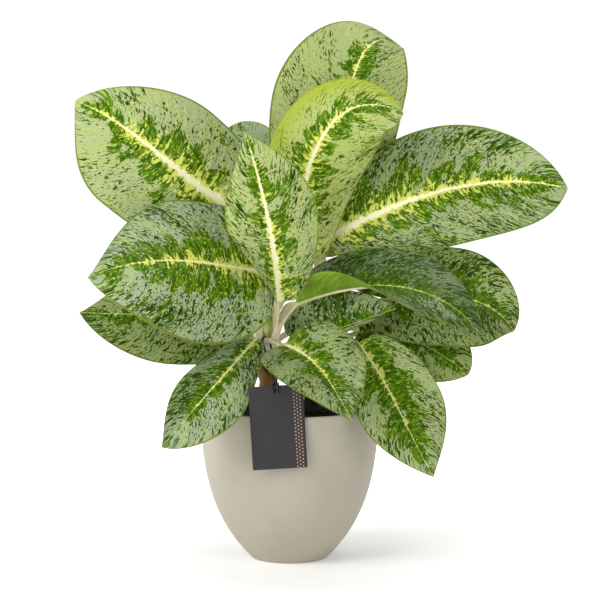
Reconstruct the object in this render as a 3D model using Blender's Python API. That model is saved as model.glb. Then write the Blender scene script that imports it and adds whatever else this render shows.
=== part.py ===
"""A potted chinese evergreen: three canes of silver-green leaves in a grower's pot inside a plain pot.

Run with: blender --background --python part.py

Frame: the origin is on the pot's axis at the underside of its foot, +Z is up, the front faces -Y and
+X is to the right. The driving dimensions below are in millimetres, and MM turns them into metres.
"""
import math

import bmesh
import bpy
import numpy as np
from mathutils import Matrix, Vector

MM = 0.001
GAP = 0.3  # left between pieces that touch

# Outer pot
POT_HEIGHT = 120.0
POT_RIM_RADIUS = 70.0
POT_FOOT_RADIUS = 30.0
POT_BELLY_REACH = 26.0  # how far the wall runs out from the foot before it turns up
POT_SHOULDER_DROP = 62.0  # how far below the rim the wall starts to curve in
POT_WALL = 2.2
POT_FLOOR = 4.0
POT_SIDES = 44
POT_ROWS_OUTSIDE = 12
POT_ROWS_INSIDE = 9
FOOT_DISC_RADIUS = 18.0  # the flat middle of the foot; a shallow groove runs round it
FOOT_RING_INNER = 22.0
FOOT_GROOVE = 1.0
FOOT_BEVEL = 1.0

# Grower's pot and soil
LINER_TOP = 115.5
LINER_RADIUS = 62.0
LINER_FOOT_RADIUS = 40.0
LINER_WALL = 1.2
LINER_LIP = 3.0  # height of the lip
LINER_LIP_REACH = 1.5  # how far the lip stands out
LINER_SIDES = 36
LINER_SLACK = 0.2  # left round the foot, besides the gap, where the grower's pot wedges in
SOIL_TOP = 109.0
SOIL_CROWN = 3.0  # rise of the soil towards the canes
SOIL_LUMP = 0.9
SOIL_RINGS = 5

# Canes: the place of the foot, the place of the top and the radius
CANE_FOOT = 70.0  # height of the lower end, in the soil
CANES = {
    "cane_front": dict(foot=(-14.0, -5.0), top=(-17.0, -7.0, 170.0), radius=7.0),
    "cane_right": dict(foot=(16.0, 8.0), top=(20.0, 12.0, 192.0), radius=7.5),
    "cane_back": dict(foot=(-18.0, 26.0), top=(-20.0, 32.0, 188.0), radius=7.0),
}
CANE_SIDES = 14
CANE_TAPER = 0.8  # of its radius is left above the soil
TAPER_FROM = 4.0  # the taper runs between these two heights above the soil's crown
TAPER_TO = 8.0

# Leaves. A pair in brackets holds a value for the left half and one for the right half.
BLADE = 0.8  # thickness
BLADE_ROWS = 13
BLADE_CELLS = 3
LOBE = 0.05  # how far the base lobes reach behind the stalk, as a share of the blade
ROOT = (0.3, 0.3)  # where each half reaches furthest back, as a share of its width
WIDEST = (0.48, 0.48)  # where each half is widest, as a share of the blade
BASE = (0.5, 0.5)  # 0 tapers to the stalk, 1 is broad and round
TIP = (0.4, 0.4)  # 0 is pointed, 1 is blunt
VEIN_LEAN = 1.4  # above 1, the side veins lean towards the tip
VEIN_ARCH = 1.4  # above 1, they bend on towards it
PETIOLE_FOOT_RADIUS = 3.2
PETIOLE_END_RADIUS = 1.9
PETIOLE_RUN = 12.0  # the stretch of a petiole that lies along its cane
PETIOLE_SIDES = 6
LEAVE_REACH = 0.42  # how long a petiole keeps its cane's direction, as a share of its span
ARRIVE_REACH = 0.28  # how long it keeps the midrib's direction
PETIOLE_RINGS = 7
KEEL_REACH = 0.7  # the midrib stands out of the underside along this share of the blade
KEEL_RINGS = 4
KEEL_END_RADIUS = 0.6
KEEL_SINK = 0.9

# Each leaf: the points its midrib runs through; the way its upper face looks at the base and at the
# tip (degrees round from the front towards +X, degrees up); its half widths left and right of the
# midrib, as seen on the upper face with the tip up; how far each half is folded up from flat, and how
# far it curls on from there to the margin (degrees: left half at base and tip, right half at base and
# tip). With an ease above 1 the fold goes over from its base to its tip value sooner. The foot is a
# cane, a height on it and the way round it, in degrees from +X towards +Y.
LEAVES = {
    "leaf_top_back": dict(
        midrib=((26, 22, 252), (46, 23, 360), (65, 37, 403), (91, 62, 400)),
        face=((-5, 15), (10, 60)), half=(60, 45), fold=(5, 0, 5, 0), curl=(-10, -25, -10, -20),
        base=(0.3, 0.2), tip=(0.6, 0.4), widest=(0.52, 0.6), foot=("cane_right", 176, 110)),
    "leaf_top_front": dict(
        midrib=((10, -2, 240), (18, -15, 314), (48, -36, 351), (86, -46, 347)),
        face=((0, 5), (-15, 45)), half=(41, 45), fold=(10, 0, 5, 0), curl=(-60, -50, -20, 0),
        base=(0.1, 0.1), tip=(0.4, 2.2), widest=(0.55, 0.58), foot=("cane_front", 156, 90)),
    "leaf_front_upright": dict(
        midrib=((-9, -34, 204), (-14, -58, 258), (-23, -66, 300), (-33, -58, 333)),
        face=((5, 5), (5, 10)), half=(33, 40), fold=(75, 0, 0, 0), curl=(-40, -40, -28, -30),
        ease=2.2, base=(-1.1, 0.0), lobe=0.0, root=(0.1, 0.3), tip=(0.0, 0.3), widest=(0.5, 0.5),
        foot=("cane_front", 154, 310)),
    "leaf_upper_left": dict(
        midrib=((-48, 2, 277), (-93, -14, 310), (-125, -22, 336), (-164, -18, 357)),
        face=((-5, 15), (-15, 15)), half=(57, 52), fold=(5, 0, 5, 0), curl=(-20, -15, -20, -15),
        base=(0.9, 1.2), lobe=0.06, tip=(0.8, 0.5), widest=(0.54, 0.36), foot=("cane_back", 172, 208)),
    "leaf_mid_left": dict(
        midrib=((-19, -18, 226), (-58, -46, 234), (-100, -76, 238), (-147, -94, 227)),
        face=((-10, 25), (-35, 25)), half=(67, 58), fold=(5, 0, 5, 0), curl=(-20, -20, -20, -20),
        base=(0.6, 1.2), lobe=0.04, tip=(1.4, 0.0), widest=(0.48, 0.42), foot=("cane_front", 160, 186)),
    "leaf_low_left_back": dict(
        midrib=((-36, -3, 180), (-77, -22, 191), (-122, -38, 195), (-159, -46, 197)),
        face=((-10, 30), (-30, 25)), half=(42, 36), fold=(10, 0, 10, 0), curl=(-10, -10, -10, -10),
        lobe=0.04, tip=(0.8, 0.1), foot=("cane_front", 136, 150)),
    "leaf_low_left_front": dict(
        midrib=((-25, -29, 176), (-50, -60, 150), (-74, -81, 124), (-94, -91, 101)),
        face=((-20, 30), (-25, 15)), half=(31, 28), fold=(-15, 0, 5, 0), curl=(-35, -10, -20, -10),
        base=(-0.6, -0.2), lobe=0.0, root=(0.2, 0.15), tip=(1.2, 0.3), widest=(0.55, 0.5),
        arrive=0.08, foot=("cane_front", 134, 204)),
    "leaf_front_low": dict(
        midrib=((-3, -34, 171), (17, -68, 163), (32, -103, 148), (45, -129, 127)),
        face=((10, 45), (20, 25)), half=(38, 34), fold=(25, 0, 10, 0), curl=(-20, -10, -20, -10),
        base=(1.5, 1.1), lobe=0.02, tip=(0.3, 0.5), widest=(0.34, 0.42), foot=("cane_front", 156, 258)),
    "leaf_inner": dict(
        midrib=((4, -3, 171), (26, -9, 177), (51, -15, 186), (82, -26, 198)),
        face=((0, 12), (10, 20)), half=(32, 5), fold=(5, 0, 5, 0), curl=(-15, -10, -15, -10),
        base=(1.0, 0.5), lobe=0.08, tip=(0.5, 0.0), widest=(0.32, 0.4), foot=("cane_front", 138, 40)),
    "leaf_right_large": dict(
        midrib=((30, 6, 250), (75, -2, 273), (150, -12, 294), (214, -18, 290)),
        face=((0, 22), (5, 15)), half=(52, 46), fold=(5, 0, 5, 0), curl=(-15, -15, -15, -15),
        base=(0.3, 0.1), lobe=0.0, tip=(0.7, 1.7), widest=(0.5, 0.5), foot=("cane_right", 178, 320)),
    "leaf_right_mid": dict(
        midrib=((6, -11, 202), (42, -29, 214), (98, -54, 214), (144, -64, 182)),
        face=((10, 35), (30, 40)), half=(37, 38), fold=(0, 0, 120, -5), curl=(-10, -10, 10, -10),
        ease=2, base=(0.5, -0.6), lobe=0.0, tip=(0.6, 0.2), widest=(0.5, 0.55),
        foot=("cane_front", 162, 345)),
    "leaf_right_back": dict(
        midrib=((75, 14, 202), (118, 4, 206), (155, -10, 198), (173, -22, 180)),
        face=((10, 30), (30, 25)), half=(44, 44), fold=(5, 0, 5, 0), curl=(-10, -10, -10, -10),
        base=(0.7, 0.7), lobe=0.2, tip=(0.6, 2.2), foot=("cane_right", 160, 350)),
    "leaf_right_low": dict(
        midrib=((56, 16, 176), (90, 8, 172), (117, -2, 161), (139, -12, 145)),
        face=((20, 40), (30, 20)), half=(34, 34), fold=(5, 0, 5, 0), curl=(-10, -10, -10, -10),
        tip=(1.2, 1.4), foot=("cane_right", 136, 30)),
    "leaf_right_front": dict(
        midrib=((53, -23, 171), (74, -50, 141), (90, -66, 110), (108, -76, 76)),
        face=((10, 25), (20, 10)), half=(38, 32), fold=(10, 0, 10, 0), curl=(-25, -15, -25, -15),
        base=(0.3, 0.3), lobe=0.0, tip=(0.5, 0.4), widest=(0.5, 0.5), foot=("cane_right", 138, 300)),
    "leaf_back_left": dict(
        midrib=((-16, 44, 246), (-28, 54, 285), (-36, 62, 318), (-38, 74, 342)),
        face=((-20, 20), (-20, 40)), half=(34, 34), fold=(10, 0, 10, 0), curl=(-10, -10, -10, -10),
        tip=(1.6, 1.6), foot=("cane_back", 178, 120)),
    "leaf_rear_high": dict(
        midrib=((4, 58, 250), (6, 88, 284), (8, 118, 304), (10, 152, 306)),
        face=((180, 70), (180, 40)), half=(40, 42), fold=(10, 0, 10, 0), curl=(-15, -15, -15, -15),
        foot=("cane_back", 166, 70)),
    "leaf_rear_right": dict(
        midrib=((44, 44, 238), (66, 66, 252), (90, 88, 252), (112, 108, 238)),
        face=((140, 70), (140, 40)), half=(42, 40), fold=(10, 0, 10, 0), curl=(-15, -15, -15, -15),
        foot=("cane_right", 162, 70)),
    "leaf_rear_left": dict(
        midrib=((-44, 50, 222), (-66, 74, 234), (-88, 98, 232), (-106, 118, 216)),
        face=((220, 65), (220, 35)), half=(40, 42), fold=(10, 0, 10, 0), curl=(-15, -15, -15, -15),
        foot=("cane_back", 158, 165)),
    "leaf_rear_low_right": dict(
        midrib=((30, 52, 184), (48, 82, 186), (64, 108, 174), (76, 128, 152)),
        face=((150, 60), (150, 30)), half=(36, 38), fold=(10, 0, 10, 0), curl=(-15, -15, -15, -15),
        foot=("cane_back", 144, 40)),
    "leaf_rear_low_left": dict(
        midrib=((-30, 60, 180), (-44, 86, 180), (-56, 110, 166), (-66, 128, 144)),
        face=((200, 60), (200, 30)), half=(36, 36), fold=(10, 0, 10, 0), curl=(-15, -15, -15, -15),
        foot=("cane_back", 138, 105)),
}

# Young leaf, still rolled, on top of the front cane
YOUNG_ROUTE = ((-17, -7, 170.65), (-16.5, -8, 180), (-16.5, -13, 189), (-19, -20, 197))
YOUNG_RADII = (4.0, 5.0, 3.8, 0.5)
YOUNG_SIDES = 8
YOUNG_RINGS = 9

# Hang tag: a card that hangs by its cord and leans on the rim of the pot
TAG_WIDTH = 41.0
TAG_HEIGHT = 62.5
TAG_THICK = 0.8
TAG_MIDDLE = (-8.4, -71.4, 113.0)
TAG_LEAN = 4.0  # degrees that its top leans towards the plant
TAG_TURN = 3.4  # degrees that it hangs askew, as seen from the front
HOLE_RADIUS = 2.5
HOLE_DROP = 5.2  # from the top edge to the hole's middle
HOLE_SIDES = 16
CORD_RADIUS = 0.55
CORD_STEP = 2.0
CORD_STEPS = (2, 6)  # fewest and most steps between two points of its route
CORD_LEAF = "leaf_front_low"  # the cord is looped round this leaf's petiole
CORD_RING = 2  # at this ring of it

# The hitch's right half: down to the card from behind, through the hole to its front, up over the top
# edge and across the back. Each point is to the right, to the back and up from the middle of that edge.
HITCH = (
    (0.9, 5.0, 3.6), (0.75, 1.6, 0.3), (0.75, 1.4, -2.5), (0.9, 1.1, -4.2), (1.2, 0.0, -5.6),
    (1.7, -1.3, -4.4), (2.1, -1.4, -2.2), (2.2, -1.3, -0.2), (2.2, 0.0, 1.3), (2.2, 1.9, 0.7),
    (1.7, 3.2, -0.7), (0.0, 3.6, -1.4),
)

GREEN = (0.16, 0.27, 0.08)
STALK = (0.52, 0.56, 0.26)


def along(points, t):
    """Points at the shares t (array) of a smooth curve through three or four given points."""
    points = np.asarray(points, float)
    knots = np.concatenate([[0.0], np.cumsum(np.linalg.norm(np.diff(points, axis=0), axis=1))])
    knots /= knots[-1]
    t = np.atleast_1d(np.asarray(t, float))
    result = np.zeros((len(t), 3))
    for i, point in enumerate(points):
        weight = np.ones_like(t)
        for j, knot in enumerate(knots):
            if i != j:
                weight *= (t - knot) / (knots[i] - knot)
        result += weight[:, None] * point
    return result


def unit(vectors):
    """The vectors at unit length."""
    return vectors / np.linalg.norm(vectors, axis=-1, keepdims=True)


def bezier(a, b, c, d, t):
    """Points of a cubic Bezier curve."""
    t = np.atleast_1d(np.asarray(t, float))[:, None]
    a, b, c, d = (np.asarray(p, float) for p in (a, b, c, d))
    return (1 - t) ** 3 * a + 3 * t * (1 - t) ** 2 * b + 3 * t * t * (1 - t) * c + t ** 3 * d


class Midrib:
    """The midrib of a leaf: a curve by length, with its side and upper directions."""

    STEPS = 200

    def __init__(self, points, face):
        share = np.linspace(0, 1, self.STEPS + 1)
        self.places = along(points, share)
        steps = np.linalg.norm(np.diff(self.places, axis=0), axis=1)
        self.lengths = np.concatenate([[0.0], np.cumsum(steps)])
        self.length = self.lengths[-1]
        self.tangents = unit(np.gradient(self.places, self.lengths, axis=0))
        around = np.radians(face[0][0] + (face[1][0] - face[0][0]) * share)
        above = np.radians(face[0][1] + (face[1][1] - face[0][1]) * share)
        look = np.stack([np.sin(around) * np.cos(above), -np.cos(around) * np.cos(above), np.sin(above)], -1)
        inward = np.sum(look * self.tangents, axis=1, keepdims=True)
        self.normals = unit(look - inward * self.tangents)
        self.sides = np.cross(self.tangents, self.normals)

    def frame(self, distance):
        """Place, tangent, side and normal at distances along the midrib, straight on past its ends."""
        distance = np.asarray(distance, float)
        held = np.clip(distance, 0, self.length)
        pick = [
            np.stack([np.interp(held, self.lengths, rows[:, k]) for k in range(3)], -1)
            for rows in (self.places, self.tangents, self.sides, self.normals)
        ]
        place, tangent, side, normal = pick
        return place + (distance - held)[..., None] * tangent, tangent, side, normal


def half_outline(leaf, half, length, share):
    """Margin of one flat half, from its rearmost lobe point (share 0) to the tip (share 1)."""
    half_width = leaf["half"][half]
    lobe, widest = leaf.get("lobe", LOBE) * length, leaf.get("widest", WIDEST)[half] * length
    base, tip = leaf.get("base", BASE)[half], leaf.get("tip", TIP)[half]
    fine = np.linspace(0, 1, 80)
    lower = bezier(
        (leaf.get("root", ROOT)[half] * half_width, -lobe), ((0.5 + 0.3 * base) * half_width, -lobe),
        (half_width, (0.6 - 0.35 * base) * widest), (half_width, widest), fine)
    upper = bezier(
        (half_width, widest), (half_width, widest + (0.42 + 0.14 * tip) * (length - widest)),
        ((0.15 + 0.25 * tip) * half_width, (0.9 + 0.05 * tip) * length), (0, length), fine)
    line = np.concatenate([lower, upper[1:]])
    run = np.concatenate([[0.0], np.cumsum(np.linalg.norm(np.diff(line, axis=0), axis=1))])
    return np.stack([np.interp(share * run[-1], run, line[:, k]) for k in range(2)], -1)


def half_grid(leaf, half, length, rows, cells):
    """Flat places of one half: row by row from the basal edge to the tip, midrib to margin."""
    half_width, lobe = leaf["half"][half], leaf.get("lobe", LOBE) * length
    across = np.linspace(0, 1, cells + 1)
    root = leaf.get("root", ROOT)[half] * half_width
    grid = [bezier((0, 0), (0.25 * root, -0.2 * lobe), (0.6 * root, -lobe), (root, -lobe), across)]
    starts = length * np.linspace(0, 1, rows + 1) ** VEIN_LEAN
    for row, start in enumerate(starts[1:], 1):
        margin = half_outline(leaf, half, length, np.array([row / rows]))[0]
        grid.append(np.stack([margin[0] * across, start + (margin[1] - start) * across ** VEIN_ARCH], -1))
    return np.array(grid), starts


def raise_half(rib, flat, starts, half_width, sign, fold, curl, ease):
    """Places in space of one half's flat places, folded up from the midrib and curled to the margin."""
    starts = np.repeat(starts[:, None], flat.shape[1], axis=1)
    share = starts / rib.length
    place, tangent, side, normal = rib.frame(starts)
    place = place + (flat[..., 1] - starts)[..., None] * tangent
    first = np.radians(fold[1] + (fold[0] - fold[1]) * (1 - share) ** ease)
    bend = np.radians(curl[0] + (curl[1] - curl[0]) * share) / half_width
    out = flat[..., 0]
    steps = 12
    reach = np.zeros_like(out)
    lift = np.zeros_like(out)
    for step in range(steps):
        angle = first + bend * out * (step + 0.5) / steps
        reach += np.cos(angle) * out / steps
        lift += np.sin(angle) * out / steps
    return place + sign * reach[..., None] * side + lift[..., None] * normal


def blade_places(leaf, rows=BLADE_ROWS, cells=BLADE_CELLS):
    """The middle surface of a blade as a grid: rows from base to tip, left margin to right margin."""
    rib = Midrib(leaf["midrib"], leaf["face"])
    fold, curl = leaf["fold"], leaf["curl"]
    halves = []
    for half, sign in ((0, -1), (1, 1)):
        width = leaf["half"][half]
        flat, starts = half_grid(leaf, half, rib.length, rows, cells)
        pick = slice(2 * half, 2 * half + 2)
        halves.append(raise_half(rib, flat, starts, width, sign, fold[pick], curl[pick], leaf.get("ease", 1)))
    return rib, np.concatenate([halves[0][:, :0:-1], halves[1]], axis=1)


def grid_normals(places):
    """Unit normals of a grid of places, towards the upper face."""
    along_rows = np.gradient(places, axis=0)
    along_cells = np.gradient(places, axis=1)
    along_cells[-1] = along_cells[-2]
    return unit(np.cross(along_rows, along_cells))


def blade_mesh(places):
    """A closed blade of even thickness, split into triangles alike on both faces."""
    normals = grid_normals(places)
    rows, columns = places.shape[0] - 1, places.shape[1]
    middle = columns // 2
    mesh = bmesh.new()
    layers = []
    for side in (0.5, -0.5):
        shifted = (places + side * BLADE * normals) * MM
        shifted[0] = (places[0] + side * BLADE * normals[1]) * MM
        layer = [[mesh.verts.new(shifted[r, c]) for c in range(columns)] for r in range(rows)]
        layer.append([mesh.verts.new(shifted[rows, middle])] * columns)
        layers.append(layer)
    for layer, flipped in ((layers[0], False), (layers[1], True)):
        for r in range(rows):
            for c in range(columns - 1):
                a, b, d, e = layer[r][c], layer[r][c + 1], layer[r + 1][c], layer[r + 1][c + 1]
                if r == rows - 1:
                    corners = [(a, b, d)]
                elif c < middle:
                    corners = [(a, b, d), (b, e, d)]
                else:
                    corners = [(a, b, e), (a, e, d)]
                for triangle in corners:
                    mesh.faces.new(triangle[::-1] if flipped else triangle)
    rim = [(r, columns - 1) for r in range(rows)] + [(rows, 0)] + [(r, 0) for r in range(rows - 1, -1, -1)]
    rim += [(0, c) for c in range(1, columns - 1)]
    for here, there in zip(rim, rim[1:] + rim[:1]):
        top_a, top_b = layers[0][here[0]][here[1]], layers[0][there[0]][there[1]]
        low_a, low_b = layers[1][here[0]][here[1]], layers[1][there[0]][there[1]]
        mesh.faces.new((top_b, top_a, low_a))
        mesh.faces.new((top_b, low_a, low_b))
    bmesh.ops.recalc_face_normals(mesh, faces=mesh.faces)
    return mesh


def tube_mesh(mesh, places, radii, sides, first=(0, 0, 1)):
    """Adds a closed tube with flat ends along the places to a mesh."""
    places = np.asarray(places, float)
    tangents = unit(np.gradient(places, axis=0))
    side = np.cross(tangents[0], np.asarray(first, float))
    if np.linalg.norm(side) < 0.1:
        side = np.cross(tangents[0], (1.0, 0.0, 0.0))
    rings = []
    for place, tangent, radius in zip(places, tangents, radii):
        side = unit(side - np.dot(side, tangent) * tangent)
        other = np.cross(tangent, side)
        turn = np.arange(sides) * 2 * math.pi / sides
        ring = place + radius * (np.cos(turn)[:, None] * side + np.sin(turn)[:, None] * other)
        rings.append([mesh.verts.new(point * MM) for point in ring])
    for low, high in zip(rings, rings[1:]):
        for k in range(sides):
            n = (k + 1) % sides
            mesh.faces.new((low[k], low[n], high[n], high[k]))
    mesh.faces.new(rings[0][::-1])
    mesh.faces.new(rings[-1])


def cane_axis(name, height):
    """The place of a cane's axis at a height, and its upward direction."""
    cane = CANES[name]
    foot = np.array([*cane["foot"], CANE_FOOT])
    top = np.array(cane["top"])
    rise = unit(top - foot)
    return foot + rise * (height - CANE_FOOT) / rise[2], rise


def petiole_route(leaf, rib):
    """Places and radii from the foot on the cane, along the midrib's underside, to the keel's end."""
    name, height, way = leaf["foot"]
    axis, rise = cane_axis(name, height)
    outward = np.array([math.cos(math.radians(way)), math.sin(math.radians(way)), 0.0])
    foot = axis + outward * (CANES[name]["radius"] * CANE_TAPER + PETIOLE_FOOT_RADIUS + GAP)
    leave = foot + rise * PETIOLE_RUN
    base, tangent, _, normal = (v[0] for v in rib.frame(np.array([0.0])))
    base = base - KEEL_SINK * normal
    span = np.linalg.norm(base - leave)
    arrive = leaf.get("arrive", ARRIVE_REACH)
    free = bezier(
        leave, leave + rise * LEAVE_REACH * span, base - tangent * arrive * span, base,
        np.linspace(0, 1, PETIOLE_RINGS))
    keel_at = np.linspace(0, KEEL_REACH, KEEL_RINGS + 1)[1:] * rib.length
    keel, _, _, keel_normal = rib.frame(keel_at)
    places = np.concatenate([[foot], free, keel - KEEL_SINK * keel_normal])
    stalk = np.linspace(PETIOLE_FOOT_RADIUS, PETIOLE_END_RADIUS, PETIOLE_RINGS + 1)
    radii = np.concatenate([stalk, np.linspace(PETIOLE_END_RADIUS, KEEL_END_RADIUS, KEEL_RINGS + 1)[1:]])
    return places, radii


def material(name, colour, roughness, metallic=0.0):
    """A plain Principled material."""
    made = bpy.data.materials.new(name)
    made.use_nodes = True
    shader = made.node_tree.nodes["Principled BSDF"]
    shader.inputs["Base Color"].default_value = (*colour, 1.0)
    shader.inputs["Roughness"].default_value = roughness
    shader.inputs["Metallic"].default_value = metallic
    return made


def add_object(name, mesh, made):
    """Makes a named object of a bmesh and frees the bmesh."""
    data = bpy.data.meshes.new(name)
    bmesh.ops.recalc_face_normals(mesh, faces=mesh.faces)
    mesh.to_mesh(data)
    mesh.free()
    data.materials.append(made)
    data.shade_smooth()
    data.set_sharp_from_angle(angle=math.radians(40))
    placed = bpy.data.objects.new(name, data)
    bpy.context.scene.collection.objects.link(placed)
    return placed


def join_solids(target, others, operation="UNION"):
    """Applies a Boolean of the target with the others, and removes the others."""
    for other in others:
        change = target.modifiers.new("join", "BOOLEAN")
        change.operation = operation
        change.object = other
    bpy.context.view_layer.update()
    evaluated = target.evaluated_get(bpy.context.evaluated_depsgraph_get())
    made = bpy.data.meshes.new_from_object(evaluated)
    target.modifiers.clear()
    old = target.data
    target.data = made
    bpy.data.meshes.remove(old)
    for other in others:
        bpy.data.objects.remove(other)


def turned(name, profile, sides, made):
    """A closed solid turned round +Z from a closed profile of (radius, height) points."""
    mesh = bmesh.new()
    rings = []
    for radius, height in profile:
        if radius == 0:
            rings.append([mesh.verts.new((0, 0, height * MM))] * sides)
            continue
        turns = [2 * math.pi * k / sides for k in range(sides)]
        places = [Vector((radius * math.cos(turn), radius * math.sin(turn), height)) for turn in turns]
        rings.append([mesh.verts.new(place * MM) for place in places])
    for low, high in zip(rings, rings[1:] + rings[:1]):
        for k in range(sides):
            n = (k + 1) % sides
            corners = list(dict.fromkeys((low[k], low[n], high[n], high[k])))
            if len(corners) > 2:
                mesh.faces.new(corners)
    return add_object(name, mesh, made)


def pot_wall(inset, count, start=0.0):
    """Profile of the pot's wall from the foot up, moved in by inset from the outer surface."""
    share = np.linspace(start, 1, count)
    corners = (
        (POT_FOOT_RADIUS, 0), (POT_FOOT_RADIUS + POT_BELLY_REACH, POT_BELLY_REACH),
        (POT_RIM_RADIUS, POT_HEIGHT - POT_SHOULDER_DROP), (POT_RIM_RADIUS, POT_HEIGHT))
    line = bezier(*corners, share)
    step = 0.01
    ahead = unit(bezier(*corners, np.minimum(share + step, 1.0)) - bezier(*corners, share - step))
    return line + inset * np.stack([-ahead[:, 1], ahead[:, 0]], -1)


def build_pot():
    """The outer pot: a thin matte wall with a rounded rim and a ringed foot."""
    outer = pot_wall(0, POT_ROWS_OUTSIDE, start=0.03)
    outer[-1, 1] = POT_HEIGHT - 0.5 * POT_WALL
    inner = pot_wall(POT_WALL, POT_ROWS_INSIDE, start=0.1)
    inner = inner[inner[:, 1] > POT_FLOOR]
    inner[-1, 1] = POT_HEIGHT - 0.5 * POT_WALL
    rim = [
        (POT_RIM_RADIUS - 0.5 * POT_WALL * (1 - math.cos(a)), POT_HEIGHT - 0.5 * POT_WALL * (1 - math.sin(a)))
        for a in (math.radians(d) for d in (45, 90, 135))
    ]
    under = [
        (0, 0), (FOOT_DISC_RADIUS, 0), (FOOT_DISC_RADIUS + FOOT_BEVEL, FOOT_GROOVE),
        (FOOT_RING_INNER, FOOT_GROOVE), (FOOT_RING_INNER + FOOT_BEVEL, 0), (POT_FOOT_RADIUS, 0)]
    floor = [(inner[0, 0] - 3, POT_FLOOR), (0, POT_FLOOR)]
    profile = under + [tuple(p) for p in outer] + rim + [tuple(p) for p in inner[::-1]] + floor
    return turned("pot", profile, POT_SIDES, material("pot_matte", (0.51, 0.47, 0.40), 0.6))


def liner_seat():
    """The height at which the grower's pot wedges in the outer pot."""
    wall = pot_wall(POT_WALL, 400, start=0.1)
    return float(np.interp(LINER_FOOT_RADIUS + GAP + LINER_SLACK, wall[:, 0], wall[:, 1]))


def liner_radius(height, inset=0.0):
    """Outer radius of the grower's pot at a height, less an inset."""
    share = (height - liner_seat()) / (LINER_TOP - liner_seat())
    return LINER_FOOT_RADIUS + (LINER_RADIUS - LINER_FOOT_RADIUS) * share - inset


def build_liner():
    """The grower's pot of thin black plastic, with a rolled lip."""
    seat = liner_seat()
    lip_radius, lip_foot = LINER_RADIUS + LINER_LIP_REACH, LINER_TOP - LINER_LIP
    profile = [
        (0, seat), (LINER_FOOT_RADIUS, seat), (liner_radius(lip_foot), lip_foot), (lip_radius, lip_foot),
        (lip_radius, LINER_TOP), (LINER_RADIUS - LINER_WALL, LINER_TOP),
        (liner_radius(seat, LINER_WALL), seat + LINER_WALL), (0, seat + LINER_WALL)]
    return turned("grower_pot", profile, LINER_SIDES, material("liner_black", (0.02, 0.02, 0.02), 0.45))


def build_soil():
    """The soil, with a lumpy top and a plain hole round each cane."""
    base = liner_seat() + LINER_WALL + GAP
    inset = LINER_WALL + 2 * GAP
    turns = 2 * math.pi * np.arange(LINER_SIDES) / LINER_SIDES
    circle = np.stack([np.cos(turns), np.sin(turns)], -1)
    mesh = bmesh.new()
    rings = [[mesh.verts.new((*place, base * MM)) for place in liner_radius(base, inset) * MM * circle]]
    for ring in range(SOIL_RINGS):
        share = 1 - ring / SOIL_RINGS
        lump = SOIL_LUMP * min(ring, 1) * np.sin(5 * turns + 3 * ring) * np.cos(3 * turns - 2 * ring)
        heights = SOIL_TOP + SOIL_CROWN * (1 - share ** 2) + lump
        places = liner_radius(SOIL_TOP, inset) * share * circle
        rings.append([mesh.verts.new((*(place * MM), height * MM)) for place, height in zip(places, heights)])
    crown = mesh.verts.new((0, 0, (SOIL_TOP + SOIL_CROWN) * MM))
    rings.append([crown] * LINER_SIDES)
    mesh.faces.new(rings[0][::-1])
    for low, high in zip(rings, rings[1:]):
        for k in range(LINER_SIDES):
            n = (k + 1) % LINER_SIDES
            mesh.faces.new(dict.fromkeys((low[k], low[n], high[n], high[k])))
    peat = material("soil_peat", (0.03, 0.02, 0.015), 0.95)
    soil = add_object("soil", mesh, peat)
    low, high = CANE_FOOT - GAP, SOIL_TOP + SOIL_CROWN + 2 * TAPER_TO
    holes = [build_cane(name, cane["radius"] + GAP, low, high, 1.0, peat) for name, cane in CANES.items()]
    join_solids(soil, holes, "DIFFERENCE")
    return soil


def build_cane(name, radius, low, high, taper, made):
    """One cane, or the solid that cuts the hole for it, between two heights."""
    mesh = bmesh.new()
    heights = np.array([low, SOIL_TOP + SOIL_CROWN + TAPER_FROM, SOIL_TOP + SOIL_CROWN + TAPER_TO, high])
    places = [cane_axis(name, height)[0] for height in heights]
    radii = radius * np.array([1, 1, taper, taper])
    tube_mesh(mesh, places, radii, CANE_SIDES, first=(0, 1, 0))
    return add_object(name, mesh, made)


def build_leaf(name, leaf, blade_material):
    """One leaf: its blade joined to its petiole and keel."""
    rib, places = blade_places(leaf)
    blade = add_object(name, blade_mesh(places), blade_material)
    stalk_mesh = bmesh.new()
    route, radii = petiole_route(leaf, rib)
    tube_mesh(stalk_mesh, route, radii, PETIOLE_SIDES)
    stalk = add_object(name + "_stalk", stalk_mesh, blade_material)
    join_solids(blade, [stalk])
    return blade


def build_young_leaf(made):
    """The newest leaf, still rolled into a spear."""
    mesh = bmesh.new()
    share = np.linspace(0, 1, YOUNG_RINGS)
    radii = np.interp(share, np.linspace(0, 1, len(YOUNG_RADII)), YOUNG_RADII)
    tube_mesh(mesh, along(YOUNG_ROUTE, share), radii, YOUNG_SIDES)
    return add_object("young_leaf", mesh, made)


def tag_matrix():
    """Turns the card, built flat and upright round its own middle, to where it hangs."""
    lean = Matrix.Rotation(math.radians(-TAG_LEAN), 4, "X")
    turn = Matrix.Rotation(math.radians(-TAG_TURN), 4, "Y")
    return Matrix.Translation(Vector(TAG_MIDDLE) * MM) @ lean @ turn


def build_tag(made):
    """The card with its punched hole."""
    mesh = bmesh.new()
    bmesh.ops.create_cube(mesh, size=1.0)
    bmesh.ops.scale(mesh, verts=mesh.verts, vec=Vector((TAG_WIDTH, TAG_THICK, TAG_HEIGHT)) * MM)
    card = add_object("tag_card", mesh, made)
    punch = bmesh.new()
    height = TAG_HEIGHT / 2 - HOLE_DROP
    tube_mesh(punch, [(0, -TAG_THICK, height), (0, TAG_THICK, height)], (HOLE_RADIUS,) * 2, HOLE_SIDES)
    join_solids(card, [add_object("punch", punch, made)], "DIFFERENCE")
    card.matrix_world = tag_matrix()
    return card


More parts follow.
